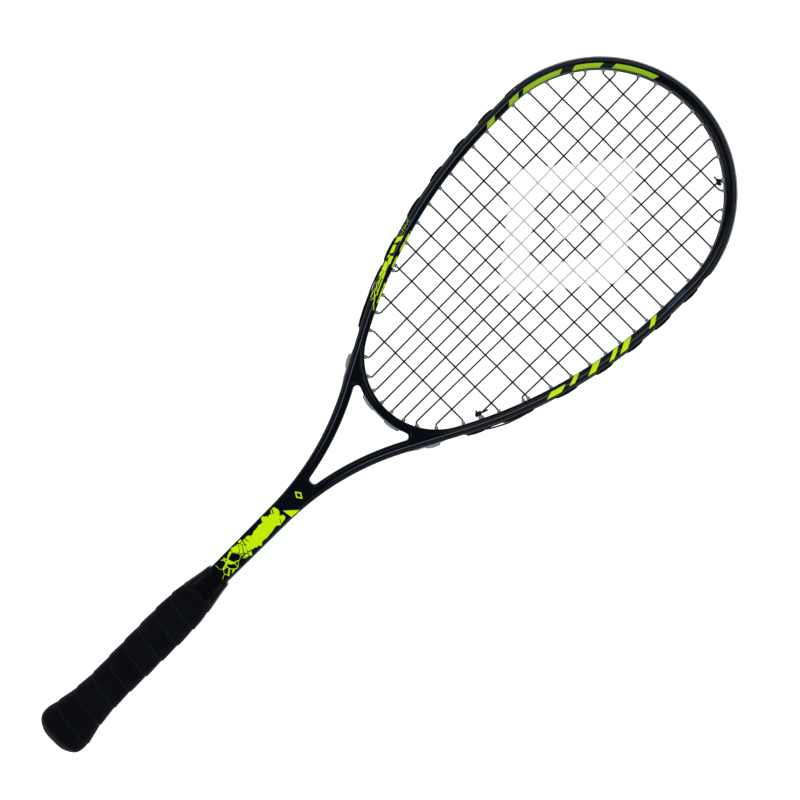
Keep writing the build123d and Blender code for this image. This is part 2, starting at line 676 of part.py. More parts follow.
with BuildPart() as shaft_pocket:
    with Locations((0, (SHAFT_END_Y + GRIP_TOP_Y) / 2, 0)):
        pocket_width = 2 * (SHAFT_HALF_WIDTH + POCKET_CLEARANCE)
        pocket_depth = SHAFT_DEPTH + 2 * POCKET_CLEARANCE
        Box(pocket_width, GRIP_TOP_Y - SHAFT_END_Y, pocket_depth)

for name, kept_side in (("front", Keep.TOP), ("back", Keep.BOTTOM)):
    with BuildPart() as half_pallet:
        add(pallet.part)
        add(shaft_pocket.part, mode=Mode.SUBTRACT)
        add(butt_cap_staples.part, mode=Mode.SUBTRACT)
        add(grip_start_staple.part, mode=Mode.SUBTRACT)
        split(bisect_by=Plane.XY, keep=kept_side)
    half_pallet.part.label = f"pallet_{name}_half"
    export_step(half_pallet.part, f"parts/pallet_{name}_half.step")

with BuildPart() as dome:
    add(wrap_body)
    add(slab(0, WRAP_LOW_Y), mode=Mode.INTERSECT)

with BuildPart() as butt_cap:
    add(core_body)
    add(slab(WRAP_LOW_Y, CAP_TOP_Y), mode=Mode.INTERSECT)
    add(dome.part)
    add(pallet.part, mode=Mode.SUBTRACT)
    add(butt_cap_staples.part, mode=Mode.SUBTRACT)
    add(grip_start_staple.part, mode=Mode.SUBTRACT)
butt_cap.part.label = "butt_cap"
export_step(butt_cap.part, "parts/butt_cap.step")

with BuildPart() as finishing_tape:
    add(wrap_body)
    add(grip_body(TAPE_THICKNESS), mode=Mode.SUBTRACT)
    add(slab(TAPE_LOW_Y, PALLET_TOP_Y), mode=Mode.INTERSECT)
finishing_tape.part.label = "finishing_tape"
export_step(finishing_tape.part, "parts/finishing_tape.step")

with BuildPart() as grip_wrap:
    add(wrap_body)
    add(core_body, mode=Mode.SUBTRACT)
    add(slab(WRAP_LOW_Y, PALLET_TOP_Y), mode=Mode.INTERSECT)
    add(finishing_tape.part, mode=Mode.SUBTRACT)
grip_wrap.part.label = "grip_wrap"
export_step(grip_wrap.part, "parts/grip_wrap.step")

with BuildPart() as grip_collar:
    for y, (width, depth) in ((PALLET_TOP_Y, COLLAR_LOW), (COLLAR_TOP_Y, COLLAR_TOP)):
        with BuildSketch(Plane.XZ.offset(-y)):
            RectangleRounded(width, depth, COLLAR_CORNER)
    loft()
    add(shaft_pocket.part, mode=Mode.SUBTRACT)
grip_collar.part.label = "grip_collar"
export_step(grip_collar.part, "parts/grip_collar.step")

with BuildPart() as shaft_end_plug:
    with Locations((0, SHAFT_END_Y + PLUG_LENGTH / 2, 0)):
        plug_width = 2 * (SHAFT_HALF_WIDTH - OUTER_WALL - POCKET_CLEARANCE)
        Box(plug_width, PLUG_LENGTH, CAVITY_DEPTH - 2 * POCKET_CLEARANCE)
shaft_end_plug.part.label = "shaft_end_plug"
export_step(shaft_end_plug.part, "parts/shaft_end_plug.step")
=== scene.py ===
from math import acos, asin, atan2, ceil, cos, hypot, pi, radians, sin, sqrt, tan

import bmesh
import bpy
import numpy as np
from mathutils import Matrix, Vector, geometry, noise


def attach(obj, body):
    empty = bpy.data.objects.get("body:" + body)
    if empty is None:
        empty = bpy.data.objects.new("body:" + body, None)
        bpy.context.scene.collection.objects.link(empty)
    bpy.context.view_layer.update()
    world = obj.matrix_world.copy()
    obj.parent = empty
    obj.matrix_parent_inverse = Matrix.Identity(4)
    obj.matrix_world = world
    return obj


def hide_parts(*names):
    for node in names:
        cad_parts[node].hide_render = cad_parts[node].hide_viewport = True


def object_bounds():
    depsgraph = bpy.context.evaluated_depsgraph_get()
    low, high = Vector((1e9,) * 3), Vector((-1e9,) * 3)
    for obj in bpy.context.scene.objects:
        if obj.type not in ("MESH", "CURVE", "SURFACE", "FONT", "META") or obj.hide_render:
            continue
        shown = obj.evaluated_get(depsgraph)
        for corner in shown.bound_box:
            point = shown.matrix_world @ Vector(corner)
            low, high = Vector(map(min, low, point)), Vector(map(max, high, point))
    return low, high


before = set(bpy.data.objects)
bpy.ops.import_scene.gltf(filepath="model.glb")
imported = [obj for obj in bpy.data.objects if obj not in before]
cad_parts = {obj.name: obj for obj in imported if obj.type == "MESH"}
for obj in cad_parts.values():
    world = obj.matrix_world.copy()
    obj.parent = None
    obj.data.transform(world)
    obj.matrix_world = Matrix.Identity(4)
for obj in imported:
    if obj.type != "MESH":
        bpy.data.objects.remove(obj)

# A strung squash racket. Everything is drawn in millimetres, in the CAD's frame, and is
# scaled to metres as each mesh is made: origin at the butt, +Y to the head, +Z square
# to the strings.
CAD_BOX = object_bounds()
MM = 0.001

# ---- sizes shared with the CAD
HEAD_RADIUS = 101.65
HEAD_CENTRE_Y = 582.6
SIDE_STRAIGHT = 19.8
SHOULDER_RADIUS = 382.4
SHOULDER_ANGLE = radians(27.9)
NECK_RADIUS = 214.0
NECK_HALF_WIDTH = 9.03
SHAFT_HALF_WIDTH = 8.5
GRIP_TOP_Y = 178.0
SHAFT_END_Y = 12.0
HOOP_WIDTH = 7.35
LEG_WIDTH = 8.8
FRAME_HALF_DEPTH = 10.0
SHAFT_HALF_DEPTH = 8.5
TAPER_LOW_Y = 214.0
TAPER_TOP_Y = 330.0
OUTER_SLOPE = (2.9, 3.5)
WINDOW_SLOPE = (3.4, 2.0)
THROAT_SLOPE = (2.6, 2.0)
BRIDGE_RADIUS = 54.5
BRIDGE_LOW_RADIUS = 70.0
BRIDGE_LOW_Y = 347.0
THROAT_APEX_Y = 274.5
THROAT_APEX_FILLET = 2.7
THROAT_CORNER_FILLET = 2.9

BUMPER_LOW_Y = 593.0
STRIP_TOP_Y = 592.0
STRIP_LOW_Y = 381.0
SHOULDER_STRIP_TOP_Y = 368.0
SHOULDER_STRIP_LOW_Y = 343.0
SHOULDER_HOLES_LOW_Y = 351.0
BRIDGE_STRIP_HALF_SPAN = 20.5
BARREL_RADIUS = 1.55
BARREL_PROUD = 2.3
TIE_BARREL_RADIUS = 2.4

STRING_RADIUS = 0.67
MAIN_LOW_X = (-66.9, -53.5, -38.8, -27.3, -16.0, -5.1, 5.2, 16.2, 27.0, 38.6, 53.5, 66.9)
MAIN_TOP_X = (-71.3, -55.6, -41.0, -28.2, -16.3, -4.9, 5.2, 16.8, 28.9, 41.8, 56.7, 71.9)
CROSS_Y = (
    648.3, 630.4, 613.3, 598.7, 583.5, 569.4, 555.4, 540.0, 527.6,
    513.8, 500.4, 486.1, 470.0, 453.3, 435.4, 412.9, 388.5,
)
TURN_INSET = 3.7
GENTLE_TURN_INSET = 1.6
GENTLE_TURN = radians(25.0)
SHOULDER_EXITS = {3: (47.0, 364.2), 4: (41.9, 354.9)}
LOOP_SPLAY = 1.7
LOOP_SHARES = (0.2, 0.5, 0.8)
BUMPER_LOOP_OFFSET = 0.8
STRIP_LOOP_OFFSET = 1.1
STRIP_LOOP_RISE = 0.56
BUMPER_LOOP_LOW_Y = 603.7
CROSSING_MARGIN = 1.5
MAIN_MARGIN = 3.0
CORNER_SHARE = 0.45
TIE_SPACING = 1.3
TIE_MAIN = 10
BRIDGE_MAINS = slice(4, 8)
BRIDGE_RANK = 5

GRIP_SECTIONS = (
    (0.0, 20.0), (1.3, 25.5), (4.3, 34.7), (7.3, 39.6), (10.3, 41.4), (13.4, 42.0),
    (22.4, 38.6), (34.5, 34.2), (46.6, 32.0), (90.0, 32.0), (134.0, 32.0), (146.2, 30.4),
    (152.2, 28.5), (158.0, 26.7),
)
GRIP_DEPTH_RATIO = 0.86
WRAP_THICKNESS = 1.8
WRAP_LOW_Y = 8.0
CAP_TOP_Y = 44.0
TAPE_LOW_Y = 152.2
TAPE_TOP_Y = 158.0
COLLAR_LOW = np.array((158.0, 26.7, 23.0))
COLLAR_TOP = np.array((176.4, 20.4, 19.6))
COLLAR_POWER = 3.4

# ---- sizes of the finish
MERGE_DISTANCE = 2e-7  # metres
NO_LENGTH = 1e-7  # metres
EDGE_STEP = 2.0
EDGE_TURN = radians(8.0)
EDGE_ROUND = 0.9
CREASE_ROUND = 0.45
OUTER_RINGS = (0.12, 0.35, 0.7, 1.3, 2.0, 2.6, 2.9, 3.2)
WINDOW_RINGS = (0.12, 0.35, 0.7, 1.5, 2.4, 3.1, 3.4, 3.7)
THROAT_RINGS = (0.12, 0.35, 0.7, 1.3, 2.0, 2.6, 2.9, 3.3)
FIELD_STEP = 2.0
FIELD_MARGIN = 1.0
FIELD_CLEARANCE = 3.9
RING_CLEARANCE = 0.1
SAME_POINT = 1e-4
ON_AXIS = 1e-6
WALL_LIP = 0.6
TOP_CROWN = 0.35
CROWN_REACH = 8.0
CHUNK = 1500

STRING_SIDES = 10
STRING_END_SHARE = 0.55
TURN_RADIUS = 3.0
LOOP_CORNER_RADIUS = 1.0
LOOP_BEND_RADIUS = 5.0
WEAVE_BEND_RADIUS = 8.0
CROSS_WEAVE = 1.25
MAIN_WEAVE = 0.3
LONG_LOOP_LIFTS = {0: 0.3, 10: 1.1}
KNOT_SCALE = 0.72
KNOT_LENGTH = 1.35
KNOT_STRING_RADIUS = 0.78
KNOT_CLEARANCE = 1.0
KNOT_POINTS = 100
TAIL_POINTS = 14
TAIL_BOW = 0.012
TAIL_RISE = 1.3
TAIL_DROOP = 0.06
TAIL_WAVE = 0.5
TAIL_WAVE_LENGTH = 2.6
NO_TURN = 1e-3
ARC_STEP = radians(14.0)

BUMPER_SWELL = 7.0
STRIP_SWELL = 5.0
SHOULDER_STRIP_SWELL = 7.0
BRIDGE_STRIP_SWELL = 4.0
STRIP_TIP = 0.25
RAIL_LOW_Z = 2.49
RAIL_LOW_OFFSET = 0.5
HUMP_HEIGHT = 1.15
HUMP_POWER = 0.6
BARREL_SIDES = 20

WRAP_PITCH = 16.7
WRAP_SEAM_Y = 108.0
WRAP_STEP = 0.75
WRAP_TURNS = range(-7, 4)
WRAP_PHASES = (
    0.0, 0.004, 0.012, 0.024, 0.038, 0.055, 0.09, 0.16, 0.26, 0.38, 0.5, 0.62, 0.74, 0.85, 0.93,
    0.998,
)
WRAP_LIP = 0.05
WRAP_SINK = 0.92
WRAP_SINK_POWER = 1.6
WRAP_SAG = 0.1
WRAP_LOW_OVERRUN = 1.5
WRAP_TOP_OVERRUN = 0.6
TAPE_RING_COUNT = 15
TAPE_EDGE_DROP = 0.28
TAPE_EDGE_WIDTH = 0.35
TAPE_INSET = 0.07
TAPE_CREASE = 0.05
TAPE_INSIDE = 1.2
NO_AREA = 1e-13  # square metres
GRIP_POWER = 2.85
RING_POINTS = 96

LIGHT_AIM = Vector((0.0, 0.36, 0.0))  # this and the floor's sizes are in metres
FLOOR_GAP = 0.0002
FLOOR_REACH = 6

# ---- worked-out values
SIDE_END_Y = HEAD_CENTRE_Y - SIDE_STRAIGHT
HEAD_TOP_Y = HEAD_CENTRE_Y + HEAD_RADIUS
CROWN_CENTRE = np.array((0.0, HEAD_CENTRE_Y))
SHOULDER_CENTRE = np.array((HEAD_RADIUS - SHOULDER_RADIUS, SIDE_END_Y))
LEG_STRAIGHT = (
    HEAD_RADIUS - NECK_HALF_WIDTH
    - (SHOULDER_RADIUS + NECK_RADIUS) * (1 - cos(SHOULDER_ANGLE))
) / sin(SHOULDER_ANGLE)
LEG_NORMAL = np.array((cos(SHOULDER_ANGLE), -sin(SHOULDER_ANGLE)))
LEG_ALONG = np.array((-sin(SHOULDER_ANGLE), -cos(SHOULDER_ANGLE)))
LEG_START = SHOULDER_CENTRE + LEG_NORMAL * SHOULDER_RADIUS
LEG_END = LEG_START + LEG_ALONG * LEG_STRAIGHT
NECK_CENTRE = LEG_END + LEG_NORMAL * NECK_RADIUS
INNER_SHOULDER_RADIUS = SHOULDER_RADIUS - HOOP_WIDTH
BRIDGE_CENTRE = np.array((0.0, SIDE_END_Y - sqrt(
    (INNER_SHOULDER_RADIUS - BRIDGE_RADIUS) ** 2 - SHOULDER_CENTRE[0] ** 2
)))
BRIDGE_JOIN_ANGLE = atan2(SIDE_END_Y - BRIDGE_CENTRE[1], -SHOULDER_CENTRE[0])
BRIDGE_LOW_CENTRE = np.array((0.0, BRIDGE_LOW_Y + BRIDGE_LOW_RADIUS))
CROWN_LENGTH = HEAD_RADIUS * pi / 2
SIDE_LENGTH = CROWN_LENGTH + SIDE_STRAIGHT
SHOULDER_LENGTH = SIDE_LENGTH + SHOULDER_RADIUS * SHOULDER_ANGLE
MAIN_COUNT = len(MAIN_TOP_X)
CROSS_COUNT = len(CROSS_Y)


# ---- shader helpers
def srgb(*screen):
    """Linear colour of an eight-bit screen colour."""
    shares = [value / 255 for value in screen]
    return (*[s / 12.92 if s <= 0.04045 else ((s + 0.055) / 1.055) ** 2.4 for s in shares], 1.0)


def joined_by(operation):
    """Method that joins a field to a number or another field by one Math node."""
    def join(self, other=0.0):
        return self.paint.math(operation, self, other)
    return join


class Field:
    """A value or mask that varies over a surface: the output of a node."""

    def __init__(self, paint, socket):
        self.paint = paint
        self.socket = socket

    __add__ = __radd__ = joined_by("ADD")
    __sub__ = joined_by("SUBTRACT")
    __mul__ = __rmul__ = joined_by("MULTIPLY")
    __truediv__ = joined_by("DIVIDE")
    __pow__ = joined_by("POWER")
    __or__ = joined_by("MAXIMUM")
    __abs__ = joined_by("ABSOLUTE")

    def __rsub__(self, other):
        return self.paint.math("SUBTRACT", other, self)

    def step(self, at, soft):
        """0 below at and 1 above it, over a soft edge."""
        return self.paint.value(
            "MapRange", {"Value": self, "From Min": at - soft, "From Max": at + soft})

    def under(self, at, soft):
        return 1.0 - self.step(at, soft)

    def between(self, low, high, soft):
        return self.step(low, soft) * self.under(high, soft)

    def spread(self, low, high):
        """A value from 0 to 1, spread over another range."""
        return self.paint.value("MapRange", {"Value": self, "To Min": low, "To Max": high})


def any_of(masks):
    first, *others = masks
    for mask in others:
        first = first | mask
    return first


class Paint:
    """A node material, with short calls for the nodes that the finishes share."""

    def __init__(self, name, **shader):
        self.material = bpy.data.materials.new(name)
        self.material.use_nodes = True
        self.tree = self.material.node_tree
        self.set(**shader)
        self.place = self.value("TexCoord", output="Object")

    def feed(self, socket, value):
        if isinstance(value, Field):
            self.tree.links.new(value.socket, socket)
        else:
            socket.default_value = value

    def set(self, **inputs):
        """Feed the shader's inputs, named with _ for a space."""
        for name, value in inputs.items():
            self.feed(self.tree.nodes["Principled BSDF"].inputs[name.replace("_", " ")], value)

    def node(self, kind, inputs, **settings):
        node = self.tree.nodes.new("ShaderNode" + kind)
        for name, value in settings.items():
            setattr(node, name, value)
        for key, value in (inputs or {}).items():
            self.feed(node.inputs[key], value)
        return node

    def value(self, kind, inputs=None, output=0, **settings):
        return Field(self, self.node(kind, inputs, **settings).outputs[output])

    def math(self, operation, *values):
        return self.value("Math", dict(enumerate(values)), operation=operation)

    def attribute(self, name):
        return self.value("Attribute", output="Fac", attribute_name=name)

    def axes(self, vector=None):
        """The three parts of a vector, or of the place on the object."""
        node = self.node("SeparateXYZ", {0: vector or self.place})
        return [Field(self, output) for output in node.outputs]

    def stretched(self, *scale):
        """The place on the object, scaled along each axis."""
        return self.value("Mapping", {"Vector": self.place, "Scale": scale})

    def noise(self, scale, detail=2.0, vector=None, distortion=0.0):
        return self.value("TexNoise", {
            "Vector": vector or self.place, "Scale": scale, "Detail": detail,
            "Distortion": distortion,
        })

    def cells(self, scale, vector=None, output="Distance", feature="F1"):
        inputs = {"Vector": vector or self.place, "Scale": scale}
        return self.value("TexVoronoi", inputs, output, feature=feature)

    def mix(self, factor, *colours):
        """Blend of two colours, each a field or an eight-bit screen colour."""
        first, second = [
            colour if isinstance(colour, Field) else srgb(*colour) for colour in colours]
        return self.value("Mix", {0: factor, 6: first, 7: second}, 2, data_type="RGBA")

    def finish(self, colour, layers, rough, *bumps):
        """Lay (mask, colour) layers over a colour, and stack (height, depth in mm) bumps."""
        for mask, layer in layers:
            colour = self.mix(mask, colour, layer)
        normal = {}
        for height, depth in bumps:
            inputs = {"Distance": depth * MM, "Height": height, **normal}
            normal = {"Normal": self.value("Bump", inputs)}
        self.set(Base_Color=colour, Roughness=rough, **normal)
        return self.material


# ---- finishes
# Places on the object are in metres. Places along the tube's outer edge (from the crown),
# in from that edge and out from the window's lip are in millimetres.
def shaft_art(paint, x, y, edge):
    """Broken neon plates and a pennant up the shaft, outlines by the grip, a hollow diamond."""
    flat = paint.value("CombineXYZ", {
        "X": x + paint.noise(190).spread(-0.0009, 0.0009),
        "Y": y + paint.noise(170).spread(0.0009, -0.0009),
    })
    cell_x, cell_y, _ = paint.axes(paint.cells(190, flat, "Position"))
    gap = paint.cells(190, flat, feature="DISTANCE_TO_EDGE")
    shards = any_of([
        cell_y.between(low, high, 0.00005) * cell_x.between(left, right, 0.00005)
        for low, high, left, right in (
            (0.1965, 0.2125, -0.0068, 0.0060), (0.2125, 0.2435, -0.0064, 0.0052))
    ]) * gap.step(0.05, 0.012)
    outlines = (
        cell_y.between(0.1780, 0.1965, 0.00005) * x.between(-0.0066, 0.0062, 0.0001)
        * gap.under(0.045, 0.012)
    )
    upper_side = x * 1.08 + 0.2450
    lower_side = x * 0.145 + 0.2449
    pennant = (upper_side - y).step(0.0, 0.0001) * (y - lower_side).step(0.0, 0.0001)
    clear = (
        (y - (upper_side + 0.0007)).step(0.0, 0.0001) | (y - lower_side).under(-0.0006, 0.0001))
    across = (x + (y - 0.224) * 0.06 - 0.0003) / 0.0053
    up = (y - 0.2235) / 0.0185
    blob = (across ** 2 + up ** 2 + paint.noise(230, 4, flat) * 0.9).under(1.4, 0.03)
    diamond = (abs(x) / 0.0040 + abs(y - 0.2615) / 0.0027).between(0.6, 1.0, 0.03)
    return edge.step(1.1, 0.08) * any_of([shards * clear, pennant, outlines, blob, diamond])


def left_shoulder_art(paint, down, edge, lip):
    """Outlines, then broken plates, then splinters along the left shoulder's outer slope."""
    down = down + paint.noise(330).spread(-1.6, 1.6)
    edge = edge + paint.noise(360).spread(-0.7, 0.7)
    plates = [
        (down + edge * lean).between(start, end, 0.08) * edge.between(low, high, 0.06)
        for lean, start, end, low, high in (
            (1.0, 293.6, 298.4, 0.4, 3.9), (0.3, 299.4, 306.2, 0.1, 2.7),
            (-0.2, 307.6, 313.2, 1.9, 4.4), (0.4, 307.2, 310.4, 0.1, 1.3),
            (-0.4, 312.9, 319.6, 0.2, 3.5), (-0.6, 319.0, 324.2, 2.6, 4.0),
            (0.8, 322.0, 325.4, 0.2, 2.0),
        )
    ]
    splinters = [
        down.between(start, end, 0.1)
        * abs(edge - ((down - start) * slope + level)).under(half_width, 0.06)
        for start, end, level, slope, half_width in (
            (319.0, 333.0, 0.9, 0.14, 0.32), (321.5, 340.0, 3.6, 0.05, 0.36),
            (325.0, 331.0, 3.3, -0.38, 0.26), (331.0, 336.5, 0.6, 0.5, 0.28),
            (334.5, 350.5, 1.2, 0.28, 0.3), (337.0, 343.0, 0.7, 0.0, 0.26),
            (339.5, 345.0, 4.2, -0.5, 0.26),
        )
    ]
    outlines = (
        down.between(277.0, 290.5, 0.2) * edge.between(0.0, 2.6, 0.08)
        * paint.cells(300, feature="DISTANCE_TO_EDGE").under(0.035, 0.012)
    )
    thread = (
        (down.between(284.5, 315.5, 0.3) | down.between(324.0, 344.5, 0.3))
        * lip.under(1.0, 0.1) * paint.noise(260).step(0.42, 0.02)
    )
    return any_of([*plates, *splinters, outlines, thread])


def right_shoulder_art(along, edge):
    """Neon slashes across the right shoulder, all leaning the same way."""
    slanted = along + edge * 1.45
    return any_of([
        slanted.between(start, end, 0.1) * edge.between(low, high, 0.08)
        for start, end, low, high in (
            (205.3, 210.8, 2.8, 7.6), (231.0, 238.2, 1.6, 7.6), (243.4, 248.2, 1.6, 7.6),
            (260.4, 267.4, 1.6, 7.6), (279.8, 284.6, 2.4, 7.6), (290.4, 303.0, 1.5, 5.2),
        )
    ])


def crown_bars(down, lip):
    """Five duller bars along the inner slope of the crown's left."""
    ranges = (36.0, 71.0), (81.0, 103.4), (114.0, 148.0), (153.0, 163.0), (178.4, 186.4)
    return any_of([(down + lip).between(*ends, 0.1) for ends in ranges]) * lip.under(3.15, 0.06)


def frame_paint():
    """Gloss navy-black lacquer over the tube, with its artwork, a used player's marks and painted
    highlights.
    """
    paint = Paint("frame_gloss", Coat_Weight=0.03, Coat_Roughness=0.06, Specular_IOR_Level=0.04)
    along, edge, lip = map(paint.attribute, ("along", "edge", "lip"))
    x, y, z = paint.axes()
    down = along * -1.0
    head = y.step(0.385, 0.0005) * edge.under(8.2, 0.1)
    front_or_back = abs(z).step(0.0066, 0.0002)
    neon = shaft_art(paint, x, y, edge) | head * front_or_back * (
        left_shoulder_art(paint, down, edge, lip) | right_shoulder_art(along, edge))
    lime = head * front_or_back * crown_bars(down, lip)

    # Small teal dashes, and a teal painted highlight along the shaft's right edge
    dashes = down.between(256.0, 282.5, 0.1) * edge.between(3.3, 4.2, 0.06) | (
        along.between(167.0, 186.0, 0.1)
        * (edge.between(4.0, 4.9, 0.06) | edge.between(5.5, 6.2, 0.06)))
    dashes = paint.math("FRACT", along * 0.55).step(0.35, 0.04) * head * dashes
    right_edge_highlight = y.between(0.177, 0.246, 0.001) * x.step(0.0, 0.001) * edge.between(0.35, 0.95, 0.08)

    cloudy = paint.noise(22, 3)
    speckle = paint.noise(900)
    scuffs = paint.noise(420, 4, paint.stretched(0.5, 1.5, 1.0)).step(0.66, 0.03)
    corners = edge.under(0.45, 0.3) * abs(z).step(0.0058, 0.0004)
    worn = corners * paint.noise(120, 4).step(0.56, 0.05)
    # Painted highlight: a pale bluish line along the crease, above the shaft and away from the
    # crown.
    crease = edge.between(3.65, 4.15, 0.12) * y.step(0.30, 0.02) * abs(along).step(125.0, 30.0)
    layers = (
        (crease * 0.8, (104, 113, 127)), (lime, paint.mix(cloudy, (148, 196, 20), (166, 212, 30))),
        (neon, paint.mix(speckle, (200, 250, 0), (212, 255, 6))), (dashes | right_edge_highlight, (38, 92, 120)),
        (worn * 0.5, (58, 62, 70)),
    )
    rough = cloudy.spread(0.2, 0.24) + scuffs * 0.12 + worn * 0.2 + lip.under(0.3, 0.2) * 0.5
    return paint.finish(paint.mix(cloudy, (7, 10, 17), (9, 13, 22)), layers, rough,
                        (cloudy, 0.02), (neon | lime, 0.03), (speckle, 0.004))


def guard_nylon():
    """Satin moulded nylon, scraped along walls, with a pale painted highlight along its outer
    corner.
    """
    paint = Paint("guard_black", Specular_IOR_Level=0.06)
    x, y, z = paint.axes()
    up = paint.math("MAXIMUM", y - HEAD_CENTRE_Y * MM, 0.0)
    reach = paint.math("SQRT", x ** 2 + up ** 2)
    # Painted highlight: a pale patchy band along the crown's outer corner, on its faces.
    rim_highlight = (
        reach.step((HEAD_RADIUS + 0.35) * MM, 0.0003) * y.step(0.608, 0.022)
        * abs(z).step(0.0045, 0.0006) * paint.noise(150, 4).spread(0.3, 1.3)
    )
    cloudy = paint.noise(60, 3)
    scrape = paint.noise(260, 5, paint.stretched(1.0, 1.0, 4.0), 0.4)
    worn = scrape.step(0.6, 0.05)
    layers = (worn * 0.25, (48, 52, 60)), (rim_highlight, (158, 166, 176))
    return paint.finish(
        paint.mix(cloudy, (3, 4, 8), (7, 9, 14)), layers, (worn * 0.9 | cloudy).spread(0.24, 0.46),
        (scrape, 0.05), (paint.noise(1400), 0.012))


def grommet_plastic():
    """Smoky translucent nylon of the barrels and the throat's strips."""
    paint = Paint(
        "grommet_clear", Transmission_Weight=0.3, IOR=1.45, Subsurface_Weight=0.3,
        Subsurface_Scale=0.002, Subsurface_Radius=(1.0, 1.0, 1.0),
    )
    cloudy = paint.noise(240, 3)
    return paint.finish(
        paint.mix(cloudy, (158, 168, 176), (192, 200, 206)), (), cloudy.spread(0.28, 0.45),
        (cloudy, 0.04), (paint.noise(1500), 0.006))


def string_coat():
    """Slick coated multifilament, with a stencil in pale ink over the middle of the bed."""
    paint = Paint("string_black", Coat_Weight=0.05, Coat_Roughness=0.2, Specular_IOR_Level=0.15)
    x, y, _ = paint.axes()
    _, _, up = paint.axes(paint.value("NewGeometry", output="Normal"))
    ring = abs(x) * (1 / 0.060) + abs(y - 0.548) * (1 / 0.074)
    stencil = ring.between(0.56, 1.0, 0.01) | ring.under(0.2, 0.01)
    ink = stencil * up.step(-0.5, 0.15) * paint.noise(700, 3).step(0.30, 0.06)
    strand = paint.value(
        "TexWave", {"Vector": paint.place, "Scale": 520, "Distortion": 1.5}, "Fac",
        wave_type="BANDS", bands_direction="DIAGONAL")
    cloudy = paint.noise(90)
    return paint.finish(
        paint.mix(cloudy, (10, 12, 18), (20, 23, 31)), [(ink, (208, 216, 224))],
        cloudy.spread(0.26, 0.38) + ink * 0.3, (strand, 0.03), (paint.noise(1600), 0.006))


def grip_leather():
    """Grained black polyurethane, worn smoother where the hand holds it, with painted highlights
    along its seams.
    """
    paint = Paint("grip_pu", Sheen_Weight=0.01, Sheen_Roughness=0.5, Specular_IOR_Level=0.03)
    pebble = paint.cells(1300, paint.stretched(1.0, 0.85, 1.0))
    grain = paint.noise(800, 3)
    cloudy = paint.noise(34, 4, distortion=0.5)
    # Painted highlight: a lighter band along each seam where the wrap's turns lap.
    seam = paint.attribute("lift").under(0.18, 0.16)
    held = paint.axes()[1].between(0.05, 0.13, 0.02) * cloudy.step(0.5, 0.12)
    layers = (held * 0.4, (20, 23, 29)), (seam * 0.5, (30, 34, 42))
    return paint.finish(
        paint.mix(cloudy, (5, 7, 12), (9, 12, 18)), layers, grain.spread(0.58, 0.8) - held * 0.12,
        (cloudy, 0.25), (pebble, 0.06), (grain, 0.03))


def moulded(name, dark, light, rough, coat=0.0):
    """Plain moulded or taped surface: cloudy colour, fine grain and light scuffs."""
    paint = Paint(name, Coat_Weight=coat, Coat_Roughness=0.12, Specular_IOR_Level=0.04)
    cloudy = paint.noise(70, 3)
    scuffs = paint.noise(300, 5, paint.stretched(2.0, 0.6, 1.0)).step(0.64, 0.04)
    scuffed = [1.5 * value + 16 for value in light]
    return paint.finish(
        paint.mix(cloudy, dark, light), [(scuffs * 0.35, scuffed)],
        cloudy.spread(rough - 0.05, rough + 0.06) + scuffs * 0.1,
        (cloudy, 0.08), (paint.noise(1300, 3), 0.015))


def plated_steel():
    """Bright drawn wire."""
    paint = Paint("staple_steel", Metallic=1.0)
    drawn = paint.noise(500, 4, paint.stretched(0.2, 3.0, 3.0))
    return paint.finish(paint.mix(drawn, (150, 152, 156), (196, 198, 202)), (),
                        drawn.spread(0.22, 0.42), (drawn, 0.01))


def rigid_foam():
    """Cream cellular foam of the handle's two halves."""
    paint = Paint("handle_foam")
    pores = paint.cells(1100)
    return paint.finish(paint.mix(paint.noise(60, 3), (186, 178, 158), (208, 200, 180)), (),
                        pores.spread(0.7, 0.92), (pores, 0.15))


FRAME_PAINT = frame_paint()
GUARD = guard_nylon()
GROMMET = grommet_plastic()
STRING = string_coat()
GRIP = grip_leather()
CAP = moulded("cap_plastic", (9, 11, 15), (15, 17, 22), 0.55)
TAPE = moulded("tape_black", (8, 10, 13), (13, 15, 19), 0.5)
COLLAR = moulded("collar_rubber", (5, 6, 9), (9, 10, 14), 0.3, 0.03)
STEEL = plated_steel()
FOAM = rigid_foam()


# ---- mesh helpers
def placed(name, data):
    """A new object in the scene."""
    thing = bpy.data.objects.new(name, data)
    bpy.context.scene.collection.objects.link(thing)
    return thing


def piece(name, slot, replaced, verts, faces, materials, picks=None, attributes=None):
    """One finished mesh in the scene, on its body, in place of its CAD nodes."""
    mesh = bpy.data.meshes.new(name)
    mesh.from_pydata((np.asarray(verts, float) * MM).tolist(), [], faces)
    for material in materials:
        mesh.materials.append(material)
    for label, values in (attributes or {}).items():
        layer = mesh.attributes.new(label, "FLOAT", "POINT")
        layer.data.foreach_set("value", np.asarray(values, np.float32))
    if picks is not None:
        mesh.polygons.foreach_set("material_index", picks)
    mesh.polygons.foreach_set("use_smooth", [True] * len(mesh.polygons))
    tidy = bmesh.new()
    tidy.from_mesh(mesh)
    bmesh.ops.remove_doubles(tidy, verts=tidy.verts, dist=MERGE_DISTANCE)
    bmesh.ops.dissolve_degenerate(tidy, edges=tidy.edges, dist=NO_LENGTH)
    bmesh.ops.recalc_face_normals(tidy, faces=tidy.faces)
    tidy.to_mesh(mesh)
    tidy.free()
    mesh.update()
    thing = placed(name, mesh)
    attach(thing, "root")
    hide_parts(*replaced)
    return thing


